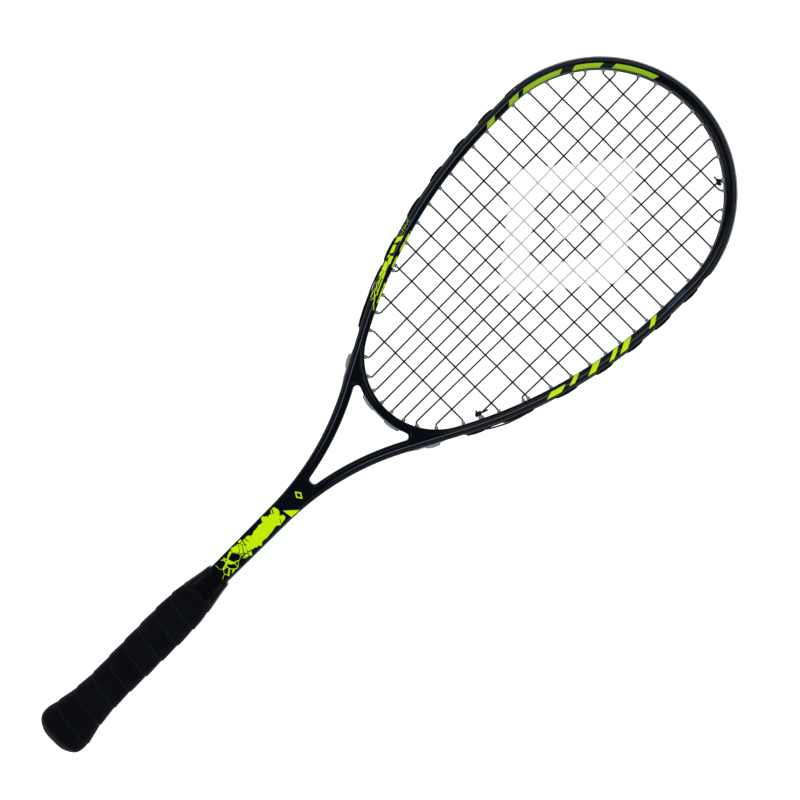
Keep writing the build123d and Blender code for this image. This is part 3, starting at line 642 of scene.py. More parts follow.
class Build:
    """Vertices and faces of one piece, gathered part by part."""

    def __init__(self):
        self.verts = []
        self.faces = []
        self.picks = []

    def rings(self, rings, pick=0, closed=False):
        """Skin over a row of rings that all have the same number of points."""
        base = len(self.verts)
        count = len(rings[0])
        for ring in rings:
            self.verts.extend(map(tuple, ring))
        rows = len(rings) if closed else len(rings) - 1
        for row in range(rows):
            low = base + row * count
            high = base + (row + 1) % len(rings) * count
            for column in range(count):
                after = (column + 1) % count
                self.faces.append((low + column, low + after, high + after, high + column))
                self.picks.append(pick)
        if not closed:
            last = base + (len(rings) - 1) * count
            self.faces.append(tuple(range(base, base + count))[::-1])
            self.faces.append(tuple(range(last, last + count)))
            self.picks += [pick, pick]

    def tube(self, path, radius):
        """Round tube along a dense path, with rounded-off ends."""
        path = np.asarray(path, float)
        heading = np.gradient(path, axis=0)
        heading /= np.linalg.norm(heading, axis=1)[:, None]
        side = np.cross(heading[0], (0.0, 0.0, 1.0))
        rings = []
        angles = np.linspace(0, 2 * pi, STRING_SIDES, endpoint=False)
        radii = np.full(len(path), radius)
        radii[0] = radii[-1] = STRING_END_SHARE * radius
        for point, ahead, wide in zip(path, heading, radii):
            side = side - ahead * side.dot(ahead)
            side /= np.linalg.norm(side)
            across = np.cross(ahead, side)
            rings.append(point + wide * (np.outer(np.cos(angles), side)
                                         + np.outer(np.sin(angles), across)))
        self.rings(rings)

    def lathe(self, profile, origin, axis, pick):
        """Turned shape about an axis in the plane of the strings, from (radius, reach) pairs."""
        ahead = np.array((axis[0], axis[1], 0.0))
        side = np.array((-axis[1], axis[0], 0.0))
        angles = np.linspace(0, 2 * pi, BARREL_SIDES, endpoint=False)
        around = np.outer(np.cos(angles), side) + np.outer(np.sin(angles), (0.0, 0.0, 1.0))
        self.rings([origin + ahead * reach + radius * around for radius, reach in profile], pick)

    def finish(self, name, slot, node, materials):
        piece(name, slot, [node], self.verts, self.faces, materials, self.picks)


def catmull(table, at):
    """Smooth curve through (place, value) pairs, read at any place."""
    places = np.array([pair[0] for pair in table])
    values = np.array([pair[1] for pair in table])
    slopes = np.gradient(values, places)
    at = np.clip(at, places[0], places[-1])
    index = np.clip(np.searchsorted(places, at, side="right") - 1, 0, len(places) - 2)
    span = places[index + 1] - places[index]
    t = (at - places[index]) / span
    return (
        values[index] * (1 + 2 * t) * (1 - t) ** 2 + slopes[index] * span * t * (1 - t) ** 2
        + values[index + 1] * t * t * (3 - 2 * t) + slopes[index + 1] * span * t * t * (t - 1)
    )


# ---- planform of the tube
def arc(centre, radius, start, end, growth):
    """Arc that an offset into the tube makes larger or smaller."""
    turn = abs(end - start)
    count = max(ceil(turn * radius / EDGE_STEP), ceil(turn / EDGE_TURN))
    angles = np.linspace(start, end, count + 1)

    def at(offset):
        reach = radius + growth * offset
        return np.column_stack((
            centre[0] + reach * np.cos(angles), centre[1] + reach * np.sin(angles)))
    return at


def straight(start, end, inward):
    """Straight stretch that moves inward, into the tube, by an offset."""
    start, end, inward = np.array(start), np.array(end), np.array(inward)
    shares = np.linspace(0, 1, ceil(np.linalg.norm(end - start) / EDGE_STEP) + 1)[:, None]

    def at(offset):
        return start + (end - start) * shares + inward * offset
    return at


def outer_edge():
    neck_low = NECK_CENTRE - np.array((NECK_RADIUS, 0.0))
    return [
        arc(CROWN_CENTRE, HEAD_RADIUS, pi / 2, 0, -1),
        straight((HEAD_RADIUS, HEAD_CENTRE_Y), (HEAD_RADIUS, SIDE_END_Y), (-1.0, 0.0)),
        arc(SHOULDER_CENTRE, SHOULDER_RADIUS, 0, -SHOULDER_ANGLE, -1),
        straight(LEG_START, LEG_END, -LEG_NORMAL),
        arc(NECK_CENTRE, NECK_RADIUS, pi - SHOULDER_ANGLE, pi, 1),
        straight(neck_low, (SHAFT_HALF_WIDTH, GRIP_TOP_Y), (-1.0, 0.0)),
        straight((SHAFT_HALF_WIDTH, GRIP_TOP_Y), (SHAFT_HALF_WIDTH, SHAFT_END_Y), (-1.0, 0.0)),
    ]


def window_edge():
    inner = HEAD_RADIUS - HOOP_WIDTH
    return [
        arc(CROWN_CENTRE, inner, pi / 2, 0, 1),
        straight((inner, HEAD_CENTRE_Y), (inner, SIDE_END_Y), (1.0, 0.0)),
        arc(SHOULDER_CENTRE, INNER_SHOULDER_RADIUS, 0, -BRIDGE_JOIN_ANGLE, 1),
        arc(BRIDGE_CENTRE, BRIDGE_RADIUS, -BRIDGE_JOIN_ANGLE, -pi / 2, 1),
    ]


def throat_edge():
    inner_neck = NECK_RADIUS + LEG_WIDTH
    apex_y = THROAT_APEX_Y + THROAT_APEX_FILLET
    reach = inner_neck + THROAT_APEX_FILLET
    apex_x = NECK_CENTRE[0] - sqrt(reach ** 2 - (apex_y - NECK_CENTRE[1]) ** 2)
    apex = np.array((apex_x, apex_y))
    apex_turn = atan2(NECK_CENTRE[1] - apex_y, NECK_CENTRE[0] - apex_x)

    guide = LEG_START - LEG_NORMAL * (LEG_WIDTH + THROAT_CORNER_FILLET) - BRIDGE_LOW_CENTRE
    lean = guide.dot(LEG_ALONG)
    far = (BRIDGE_LOW_RADIUS + THROAT_CORNER_FILLET) ** 2
    travel = -lean + sqrt(lean ** 2 - guide.dot(guide) + far)
    corner = BRIDGE_LOW_CENTRE + guide + LEG_ALONG * travel
    from_bridge = atan2(corner[1] - BRIDGE_LOW_CENTRE[1], corner[0])
    leg_low = LEG_END - LEG_NORMAL * LEG_WIDTH
    leg_high = corner + LEG_NORMAL * THROAT_CORNER_FILLET
    return [
        straight((0.0, THROAT_APEX_Y), (apex_x, THROAT_APEX_Y), (0.0, -1.0)),
        arc(apex, THROAT_APEX_FILLET, -pi / 2, apex_turn, 1),
        arc(NECK_CENTRE, inner_neck, pi + apex_turn, pi - SHOULDER_ANGLE, -1),
        straight(leg_low, leg_high, LEG_NORMAL),
        arc(corner, THROAT_CORNER_FILLET, -SHOULDER_ANGLE, pi + from_bridge, 1),
        arc(BRIDGE_LOW_CENTRE, BRIDGE_LOW_RADIUS, from_bridge, -pi / 2, -1),
    ]


def loop_at(runs, offset):
    """Both halves of an edge line, moved into the tube by offset, as one loop."""
    half = [run(offset) for run in runs]
    half = np.vstack([half[0]] + [points[1:] for points in half[1:]])
    half = half[half[:, 0] > -ON_AXIS]
    half[np.abs(half[:, 0]) < ON_AXIS, 0] = 0.0
    other = half[::-1] * (-1.0, 1.0)
    return np.vstack((half, other[other[:, 0] < 0]))


def in_chunks(points, measure):
    """Measure many points a chunk at a time, to spare memory."""
    chunks = np.array_split(points, max(1, len(points) // CHUNK))
    return np.concatenate([measure(chunk) for chunk in chunks])


def nearest(points, loop):
    """Distance from each point to a loop, and how far along the loop that is."""
    spans = np.roll(loop, -1, axis=0) - loop
    lengths = np.linalg.norm(spans, axis=1)
    marks = np.concatenate(((0.0,), np.cumsum(lengths)[:-1]))

    def measure(chunk):
        reach = chunk[:, None, :] - loop[None]
        share = np.clip((reach * spans).sum(2) / lengths ** 2, 0, 1)
        gaps = np.linalg.norm(reach - share[:, :, None] * spans, axis=2)
        best = gaps.argmin(1)
        rows = np.arange(len(chunk))
        return np.column_stack((gaps[rows, best], marks[best] + share[rows, best] * lengths[best]))
    return in_chunks(points, measure).T


def inside(points, loop):
    """Whether each point lies inside a loop, by counting crossings."""
    x1, y1 = loop.T
    x2, y2 = np.roll(x1, -1), np.roll(y1, -1)

    def measure(chunk):
        x, y = chunk[:, :1], chunk[:, 1:]
        with np.errstate(divide="ignore", invalid="ignore"):
            crossing = x < (x2 - x1) * (y - y1) / (y2 - y1) + x1
        return (((y1 > y) != (y2 > y)) & crossing).sum(1) % 2 == 1
    return in_chunks(points, measure)


def in_tube(points, loops):
    outer, window, throat = [inside(points, loop) for loop in loops]
    return outer & ~window & ~throat


def smaller(first, second):
    """Blend of two heights that follows the lower one and rounds the crease."""
    return 0.5 * (first + second - np.sqrt((first - second) ** 2 + CREASE_ROUND ** 2))


def slope_height(distance, slope):
    """Height of the tube's face over a sloping flank, with its edge rounded over."""
    run, rise = slope
    base = FRAME_HALF_DEPTH - rise
    near = 1 - np.minimum(distance / EDGE_ROUND, 1)
    return base + rise * distance / run - EDGE_ROUND * (1 - np.sqrt(1 - near ** 2))


def tube_height(points, outer, window, throat):
    taper = np.clip((points[:, 1] - TAPER_LOW_Y) / (TAPER_TOP_Y - TAPER_LOW_Y), 0, 1)
    cap = SHAFT_HALF_DEPTH + (FRAME_HALF_DEPTH - SHAFT_HALF_DEPTH) * taper
    cap = cap - TOP_CROWN * (1 - np.minimum(outer, CROWN_REACH) / CROWN_REACH) ** 2
    height = smaller(slope_height(outer, OUTER_SLOPE), slope_height(window, WINDOW_SLOPE))
    height = smaller(height, slope_height(throat, THROAT_SLOPE))
    return smaller(height, cap)


def tube_shell():
    """The moulded tube with its bridge: one smooth skin over head, legs, bridge and shaft."""
    edges = [
        (outer_edge(), OUTER_RINGS), (window_edge(), WINDOW_RINGS), (throat_edge(), THROAT_RINGS)]
    loops = [loop_at(runs, 0.0) for runs, _ in edges]
    points = list(loops)
    for own, (runs, rings) in enumerate(edges):
        for offset in rings:
            ring = loop_at(runs, offset)
            clear = np.ones(len(ring), bool)
            for other, loop in enumerate(loops):
                if other != own:
                    clear &= nearest(ring, loop)[0] > offset + RING_CLEARANCE
            points.append(ring[clear])
    grid_x, grid_y = np.meshgrid(
        np.arange(-HEAD_RADIUS, HEAD_RADIUS, FIELD_STEP),
        np.arange(SHAFT_END_Y + FIELD_MARGIN, HEAD_TOP_Y, FIELD_STEP))
    field = np.column_stack((grid_x.ravel(), grid_y.ravel()))
    field = field[in_tube(field, loops)]
    for loop in loops:
        field = field[nearest(field, loop)[0] > FIELD_CLEARANCE]
    points.append(field)

    constraints = []
    for loop in loops:
        first, count = len(constraints), len(loop)
        constraints += [(first + i, first + (i + 1) % count) for i in range(count)]
    flat, _, faces, _, _, _ = geometry.delaunay_2d_cdt(
        [Vector(point) for point in np.vstack(points)], constraints, [], 0, SAME_POINT)
    flat = np.array([tuple(point) for point in flat])
    faces = np.array([tuple(face) for face in faces])
    faces = faces[in_tube(flat[faces].mean(axis=1), loops)]

    (outer, along), (window, _), (throat, _) = [nearest(flat, loop) for loop in loops]
    total = np.linalg.norm(np.roll(loops[0], -1, axis=0) - loops[0], axis=1).sum()
    along = np.where(along > total / 2, along - total, along)
    height = tube_height(flat, outer, window, throat)

    count = len(flat)
    skin = [tuple(face) for face in faces] + [tuple(face[::-1] + count) for face in faces]
    sides = dict.fromkeys(edge for a, b, c in faces for edge in ((a, b), (b, c), (c, a)))
    rim = [edge for edge in sides if edge[::-1] not in sides]
    border = np.array(sorted({index for edge in rim for index in edge}))
    column = {index: place for place, index in enumerate(border)}
    upper = 2 * count + np.arange(len(border))
    levels = [border, upper, upper + len(border), border + count]
    for a, b in rim:
        a, b = column[a], column[b]
        skin += [(near[b], near[a], far[a], far[b]) for near, far in zip(levels, levels[1:])]

    source = np.concatenate((np.arange(count), np.arange(count), border, border))
    tall = height[border] - WALL_LIP
    piece(
        "frame_shell", "frame_gloss", ["frame_tube", "throat_bridge"],
        np.column_stack((flat[source], np.concatenate((height, -height, tall, -tall)))),
        [tuple(int(index) for index in face) for face in skin], [FRAME_PAINT],
        attributes={"along": along[source], "edge": outer[source], "lip": window[source]},
    )


# ---- string holes
class StringHole:
    """One hole through the tube: the outer end, the axis and the wall's thickness."""

    def __init__(self, outer, axis, depth, inset=TURN_INSET):
        self.outer = np.array(outer, float)
        self.axis = np.array(axis, float)
        self.depth = depth
        self.inset = inset
        self.tie = False

    def at(self, offset, height=0.0):
        """Point on the axis, offset outwards from the rim."""
        flat = self.outer + self.axis * offset
        return np.array((flat[0], flat[1], height))

    def turn(self):
        """Where the string turns from the bed into the hole."""
        return self.at(-self.depth - self.inset)


def on_arc(centre, radius, angle):
    """Point on an arc and the direction away from its centre."""
    out = np.array((cos(angle), sin(angle)))
    return centre + out * radius, out


def hole_on_arc(centre, radius, angle, inset):
    return StringHole(*on_arc(centre, radius, angle), HOOP_WIDTH, inset)


def main_hole(x, centre, radius, end):
    reach = radius - HOOP_WIDTH - TURN_INSET
    return hole_on_arc(centre, radius, end * acos((x - centre[0]) / reach), TURN_INSET)


def cross_hole(y):
    if SIDE_END_Y < y < HEAD_CENTRE_Y:
        return StringHole((HEAD_RADIUS, y), (1, 0), HOOP_WIDTH, GENTLE_TURN_INSET)
    centre, radius = SHOULDER_CENTRE, SHOULDER_RADIUS
    if y > HEAD_CENTRE_Y:
        centre, radius = CROWN_CENTRE, HEAD_RADIUS
    rise = (y - centre[1]) / (radius - HOOP_WIDTH)
    inset = GENTLE_TURN_INSET if abs(asin(rise)) < GENTLE_TURN else TURN_INSET
    angle = asin((y - centre[1]) / (radius - HOOP_WIDTH - inset))
    return hole_on_arc(centre, radius, angle, inset)


def bridge_hole(x):
    axis = np.array((x / BRIDGE_RADIUS, -sqrt(1 - (x / BRIDGE_RADIUS) ** 2)))
    inner = BRIDGE_CENTRE + axis * BRIDGE_RADIUS
    reach = inner - BRIDGE_LOW_CENTRE
    along = reach.dot(axis)
    depth = sqrt(BRIDGE_LOW_RADIUS ** 2 - reach.dot(reach) + along ** 2) - along
    return StringHole(inner + axis * depth, axis, depth)


def shoulder_hole(x, exit_point):
    inner = np.array((x, BRIDGE_CENTRE[1] - sqrt(BRIDGE_RADIUS ** 2 - x ** 2)))
    outer = np.array(exit_point)
    depth = np.linalg.norm(outer - inner)
    return StringHole(outer, (outer - inner) / depth, depth)


def mirrored(hole):
    flip = np.array((-1.0, 1.0))
    return StringHole(hole.outer * flip, hole.axis * flip, hole.depth, hole.inset)


def main_low_hole(number):
    x = MAIN_LOW_X[number - 1]
    rank = min(number, MAIN_COUNT + 1 - number)
    if rank >= BRIDGE_RANK:
        return bridge_hole(x)
    if rank in SHOULDER_EXITS:
        hole = shoulder_hole(abs(x), SHOULDER_EXITS[rank])
    else:
        hole = main_hole(abs(x), SHOULDER_CENTRE, SHOULDER_RADIUS, -1)
    return mirrored(hole) if x < 0 else hole


MAIN_TOP = [main_hole(x, CROWN_CENTRE, HEAD_RADIUS, 1) for x in MAIN_TOP_X]
MAIN_LOW = [main_low_hole(number) for number in range(1, MAIN_COUNT + 1)]
CROSS_RIGHT = [cross_hole(y) for y in CROSS_Y]
CROSS_LEFT = [mirrored(hole) for hole in CROSS_RIGHT]
TIE_TOP, TIE_LOW = MAIN_TOP[TIE_MAIN], MAIN_LOW[TIE_MAIN]
TIE_TOP.tie = TIE_LOW.tie = True
ALL_HOLES = MAIN_TOP + MAIN_LOW + CROSS_RIGHT + CROSS_LEFT


# ---- guard and strips
def rim_place(along):
    """Point on the rim and its outward direction, at a distance along from the crown."""
    s = abs(along)
    if s < CROWN_LENGTH:
        point, out = on_arc(CROWN_CENTRE, HEAD_RADIUS, pi / 2 - s / HEAD_RADIUS)
    elif s < SIDE_LENGTH:
        point = np.array((HEAD_RADIUS, HEAD_CENTRE_Y - (s - CROWN_LENGTH)))
        out = np.array((1.0, 0.0))
    elif s < SHOULDER_LENGTH:
        angle = -(s - SIDE_LENGTH) / SHOULDER_RADIUS
        point, out = on_arc(SHOULDER_CENTRE, SHOULDER_RADIUS, angle)
    else:
        point = LEG_START + LEG_ALONG * (s - SHOULDER_LENGTH)
        out = LEG_NORMAL
    flip = np.array((1.0 if along >= 0 else -1.0, 1.0))
    return point * flip, out * flip


def rim_length(y):
    """Distance along the rim from the crown down to height y."""
    if y > HEAD_CENTRE_Y:
        return HEAD_RADIUS * acos((y - HEAD_CENTRE_Y) / HEAD_RADIUS)
    if y > SIDE_END_Y:
        return CROWN_LENGTH + HEAD_CENTRE_Y - y
    if y > LEG_START[1]:
        return SIDE_LENGTH + SHOULDER_RADIUS * asin((SIDE_END_Y - y) / SHOULDER_RADIUS)
    return SHOULDER_LENGTH + (LEG_START[1] - y) / cos(SHOULDER_ANGLE)


def bridge_place(along):
    """Point on the bridge's lower edge and its downward direction."""
    angle = -pi / 2 + along / BRIDGE_LOW_RADIUS
    return on_arc(BRIDGE_LOW_CENTRE, BRIDGE_LOW_RADIUS, angle)


def whole_section(*upper):
    """Closed section from its upper half, listed from inside over the top to the middle."""
    return [*upper, *[(offset, -z) for offset, z in upper[::-1] if z > 0]]


BUMPER_SECTION = whole_section(
    (-0.9, 3.2), (-0.6, 5.2), (-0.35, 5.95), (0.05, 6.3), (0.55, 6.4), (1.0, 6.2), (1.32, 5.8),
    (1.48, 5.2), (1.5, 4.4), (1.48, 3.6), (1.34, 3.05), (1.0, 2.7), (0.5, 2.55), (0.0, 2.5),
    (-0.28, 2.3), (-0.3, 1.2), (-0.3, 0.0),
)
STRIP_SECTION = whole_section(
    (-0.9, 3.0), (-0.3, 3.25), (0.3, 3.3), (0.7, 3.25), (0.88, 3.12), (0.95, 2.9), (0.9, 2.66),
    (0.72, 2.54), (0.45, 2.5), (0.3, 2.3), (0.28, 1.2), (0.28, 0.0),
)
BARREL_PROFILE = (
    (1.0, -1.2), (1.0, 0.0), (0.99, 0.5), (0.96, 1.5), (0.91, 2.0), (0.8, 2.25), (0.66, 2.3),
    (0.58, 2.2), (0.55, 1.9), (0.55, -1.2),
)


def strip_rings(place, start, end, section, swell, humps):
    """Rings along an edge, thin at both ends, with raised rails beside each string loop."""
    rings = []
    for along in np.linspace(start, end, ceil(abs(end - start)) + 1):
        point, out = place(along)
        ease = min(1.0, abs(along - start) / swell, abs(along - end) / swell)
        ease = STRIP_TIP + (1 - STRIP_TIP) * ease * ease * (3 - 2 * ease)
        raised = 0.0
        for first, last in humps:
            share = (along - first) / (last - first)
            if 0 < share < 1:
                raised = HUMP_HEIGHT * sin(pi * share) ** HUMP_POWER
        ring = []
        for offset, z in section:
            rail = raised if abs(z) > RAIL_LOW_Z and offset > RAIL_LOW_OFFSET else 0.0
            offset = offset * ease if offset > 0 else offset
            ring.append((*(point + out * (offset + rail)), z))
        rings.append(ring)
    return rings


def strip(name, node, place, ends, section, swell, holes, humps=(), clear=False):
    """One strip with its barrels. A clear one is grommet plastic throughout."""
    build = Build()
    build.rings(strip_rings(place, *ends, section, swell, humps))
    for hole in holes:
        radius = TIE_BARREL_RADIUS if hole.tie else BARREL_RADIUS
        profile = [(share * radius, reach) for share, reach in BARREL_PROFILE]
        build.lathe(profile, hole.at(-hole.depth), -hole.axis, 0 if clear else 1)
    slot, materials = ("grommet_clear", [GROMMET]) if clear else ("guard_black", [GUARD, GROMMET])
    build.finish(f"{name}_moulding", slot, node, materials)


def holes_between(low_y, high_y, side):
    return [
        hole for hole in ALL_HOLES
        if low_y < hole.outer[1] < high_y and (side == 0 or side * hole.outer[0] > 0)
    ]


def rim_span(side, *heights):
    """Distances along one side of the rim from the crown down to each height."""
    return [side * rim_length(y) for y in heights]


def guard_and_strips():
    reach = rim_length(BUMPER_LOW_Y)
    strip("bumper_guard", "head_bumper_guard", rim_place, (-reach, reach), BUMPER_SECTION,
          BUMPER_SWELL, holes_between(BUMPER_LOW_Y, HEAD_TOP_Y, 0))
    # A side's first cross with a loop on the long strip, and the mains with one on the short
    for name, side, crosses, first, shoulder in (
        ("left", -1, CROSS_LEFT, 5, MAIN_LOW[3:1:-1]), ("right", 1, CROSS_RIGHT, 4, MAIN_LOW[8:10]),
    ):
        pairs = [crosses[i:i + 2] for i in range(first, CROSS_COUNT - 1, 2)]
        humps = [rim_span(side, a.outer[1], b.outer[1]) for a, b in (*pairs, shoulder)]
        strip(f"{name}_strip", f"{name}_grommet_strip", rim_place,
              rim_span(side, STRIP_TOP_Y, STRIP_LOW_Y), STRIP_SECTION, STRIP_SWELL,
              holes_between(STRIP_LOW_Y, STRIP_TOP_Y, side), humps[:-1])
        strip(f"{name}_shoulder_strip", f"{name}_shoulder_grommet_strip", rim_place,
              rim_span(side, SHOULDER_STRIP_TOP_Y, SHOULDER_STRIP_LOW_Y), STRIP_SECTION,
              SHOULDER_STRIP_SWELL,
              holes_between(SHOULDER_HOLES_LOW_Y, SHOULDER_STRIP_TOP_Y, side), humps[-1:], True)
    half, *edges = [
        BRIDGE_LOW_RADIUS * asin(x / BRIDGE_LOW_RADIUS)
        for x in (BRIDGE_STRIP_HALF_SPAN, *[hole.outer[0] for hole in MAIN_LOW[BRIDGE_MAINS]])
    ]
    strip("bridge_strip", "bridge_grommet_strip", bridge_place, (-half, half), STRIP_SECTION,
          BRIDGE_STRIP_SWELL, MAIN_LOW[BRIDGE_MAINS], (edges[:2], edges[2:]), True)


# ---- strings
def over(main, cross):
    """1 where the cross passes in front of the main, -1 where it passes behind."""
    return 1 if (main + cross) % 2 else -1


def main_x(main, y):
    low, top = MAIN_LOW[main].turn(), MAIN_TOP[main].turn()
    return low[0] + (top[0] - low[0]) * (y - low[1]) / (top[1] - low[1])


def crossing(main, y, height):
    return np.array((main_x(main, y), y, height))


def cross_points(cross, start, finish):
    """Where a cross passes over or under the mains, from start to finish."""
    y = start[1]
    points = [
        crossing(main, y, CROSS_WEAVE * over(main, cross)) for main in range(MAIN_COUNT)
        if abs(main_x(main, y)) < abs(start[0]) - CROSSING_MARGIN
        and MAIN_LOW[main].turn()[1] < y < MAIN_TOP[main].turn()[1]
    ]
    return points if start[0] < finish[0] else points[::-1]


def main_points(main, start, finish):
    """Where a main gives way a little to each cross, from start to finish."""
    low, high = sorted((start[1], finish[1]))
    points = [
        crossing(main, y, -MAIN_WEAVE * over(main, cross)) for cross, y in enumerate(CROSS_Y)
        if low + MAIN_MARGIN < y < high - MAIN_MARGIN
    ]
    return points if start[1] > finish[1] else points[::-1]


def loop_offset(hole):
    return BUMPER_LOOP_OFFSET if hole.outer[1] > BUMPER_LOOP_LOW_Y else STRIP_LOOP_OFFSET


def loop_points(start, end, splay, lifted=0.0):
    """Corners of the string's path outside the rim, from one hole to the next."""
    half_turn = acos(min(1.0, start.axis.dot(end.axis))) / 2
    span = np.linalg.norm(end.outer - start.outer)
    on_strip = max(start.outer[1], end.outer[1]) < STRIP_TOP_Y
    rise = lifted + (STRIP_LOOP_RISE if on_strip else 0.0)
    points = []
    for share in LOOP_SHARES:
        axis = start.axis * (1 - share) + end.axis * share
        axis /= np.linalg.norm(axis)
        chord = start.outer * (1 - share) + end.outer * share
        # The string follows the rim's bulge, and both bulge and rise are most at mid-span
        lift = loop_offset(start) * (1 - share) + loop_offset(end) * share
        lift += (span * half_turn + rise * 4) * share * (1 - share)
        points.append(np.array((*(chord + axis * lift), splay)))
    return [start.at(loop_offset(start)), *points, end.at(loop_offset(end))]


def rounded(points, wanted):
    """Path along straight runs, with every corner turned into an arc of small steps."""
    path = [points[0]]
    for before, corner, after, radius in zip(points, points[1:], points[2:], wanted):
        arriving, leaving = corner - before, after - corner
        lengths = np.linalg.norm(arriving), np.linalg.norm(leaving)
        arriving, leaving = arriving / lengths[0], leaving / lengths[1]
        turn = acos(max(-1.0, min(1.0, arriving.dot(leaving))))
        if turn < NO_TURN:
            path.append(corner)
            continue
        reach = min(radius * tan(turn / 2), CORNER_SHARE * min(lengths))
        radius = reach / tan(turn / 2)
        middle = (leaving - arriving) / np.linalg.norm(leaving - arriving)
        ahead = (arriving + leaving) / np.linalg.norm(arriving + leaving)
        centre = corner + middle * (radius / cos(turn / 2))
        steps = max(2, ceil(turn / ARC_STEP))
        for angle in np.linspace(-turn / 2, turn / 2, steps + 1):
            path.append(centre - middle * radius * cos(angle) + ahead * radius * sin(angle))
    return [*path, points[-1]]


LOOP_RADII = [LOOP_CORNER_RADIUS, *[LOOP_BEND_RADIUS] * len(LOOP_SHARES), LOOP_CORNER_RADIUS]


def laced(lead, rows, bed_points, lifts, tie, side):
    """A string's path to and fro through two rows of holes, then to its knot beside the last.

    The loops named in lifts splay to one side of the frame and rise by that much.
    """
    path, radii = list(lead), LOOP_RADII[-2:]
    for index in range(len(rows[0])):
        starts, ends = rows if index % 2 == 0 else rows[::-1]
        start, finish = starts[index].turn(), ends[index].turn()
        bed = bed_points(index, start, finish)
        path += [start, *bed, finish]
        radii += [TURN_RADIUS, *[WEAVE_BEND_RADIUS] * len(bed), TURN_RADIUS, *LOOP_RADII]
        if index < len(rows[0]) - 1:
            splay = side * LOOP_SPLAY if index in lifts else 0
            path += loop_points(ends[index], ends[index + 1], splay, lifts.get(index, 0.0))
    path += loop_points(ends[-1], tie, side * LOOP_SPLAY)[:-1]
    path.append(tie.at(loop_offset(tie), side * TIE_SPACING))
    path.append(tie.at(-tie.depth - BARREL_PROUD - KNOT_CLEARANCE, side * TIE_SPACING))
    return rounded(path, radii)


def strings():
    """Both strings, which meet in the first loop."""
    meet = loop_points(CROSS_LEFT[0], MAIN_TOP[0], 0)
    flat_loops = dict.fromkeys(range(CROSS_COUNT), 0.0)
    for name, path in (
        ("main", laced(meet[2:], (MAIN_TOP, MAIN_LOW), main_points, LONG_LOOP_LIFTS, TIE_TOP, -1)),
        ("cross", laced(meet[2::-1], (CROSS_LEFT, CROSS_RIGHT), cross_points, flat_loops,
                        TIE_LOW, 1)),
    ):
        build = Build()
        build.tube(path, STRING_RADIUS)
        build.finish(f"{name}_string_run", "string_black", f"{name}_strings", [STRING])


def knots():
    """Overhand knots round the second main from the right, each with two cut tails."""
    for name, hole, away, tails in (
        ("top", TIE_TOP, (0.48, -1.2, 0.0), ((-1.0, 0.1, 5.6), (0.5, -1.0, 2.2))),
        ("bottom", TIE_LOW, (-0.96, -0.84, 0.0), ((0.48, 1.0, 8.0), (-1.0, 0.1, 3.4))),
    ):
        centre = hole.turn() + away
        axis = np.array((*hole.axis, 0.0))
        side = np.array((-hole.axis[1], hole.axis[0], 0.0))
        build = Build()
        path = []
        for t in np.linspace(0, 2 * pi, KNOT_POINTS):
            across = KNOT_SCALE * (sin(t) + 2 * sin(2 * t))
            up = KNOT_SCALE * (cos(t) - 2 * cos(2 * t))
            path.append(centre + side * across - axis * KNOT_LENGTH * sin(3 * t) + (0, 0, up))
        build.tube(path, KNOT_STRING_RADIUS)
        for x, y, length in tails:
            tail = np.array((x, y, 0.0)) / hypot(x, y)
            bow = np.array((-tail[1], tail[0], 0.0)) * TAIL_BOW
            build.tube([
                centre + tail * reach + bow * reach ** 2
                + (0, 0, TAIL_RISE + TAIL_WAVE * sin(reach / TAIL_WAVE_LENGTH) - TAIL_DROOP * reach)
                for reach in np.linspace(0.0, length, TAIL_POINTS)
            ], STRING_RADIUS)
        build.finish(f"tie_off_overhand_{name}", "string_black", f"tie_off_knot_{name}", [STRING])


# ---- handle
TURN = np.linspace(0, 2 * pi, RING_POINTS, endpoint=False)


def rounded_ring(y, half_width, half_depth, power=GRIP_POWER):
    """Ring round the handle's axis; every size may differ from point to point."""
    wide = np.sign(np.cos(TURN)) * np.abs(np.cos(TURN)) ** (2 / power)
    deep = np.sign(np.sin(TURN)) * np.abs(np.sin(TURN)) ** (2 / power)
    return np.column_stack((half_width * wide, np.full(RING_POINTS, 1.0) * y, half_depth * deep))


def grip_ring(y, shrink):
    half = catmull(GRIP_SECTIONS, y) / 2
    return rounded_ring(y, half - shrink, half * GRIP_DEPTH_RATIO - shrink)


def ring_noise(y, spread, length):
    """Smooth noise round a ring, which changes along the handle over a length."""
    return np.array([
        noise.noise(Vector((cos(angle) * spread, at / length, sin(angle) * spread)))
        for angle, at in np.broadcast(TURN, y)
    ])


def wrap_depth(y):
    """How far the wrap's surface lies under the grip's outer form at each turn angle."""
    seam = WRAP_SEAM_Y + WRAP_PITCH * (TURN - pi) / (2 * pi)
    phase = ((y - seam) / WRAP_PITCH) % 1.0
    lip = np.minimum(phase / WRAP_LIP, 1.0)
    lip = np.sqrt(1 - (1 - lip) ** 2)
    rest = np.clip((phase - WRAP_LIP) / (1 - WRAP_LIP), 0, 1)
    return WRAP_STEP * (1 - lip) + WRAP_STEP * WRAP_SINK * rest ** WRAP_SINK_POWER


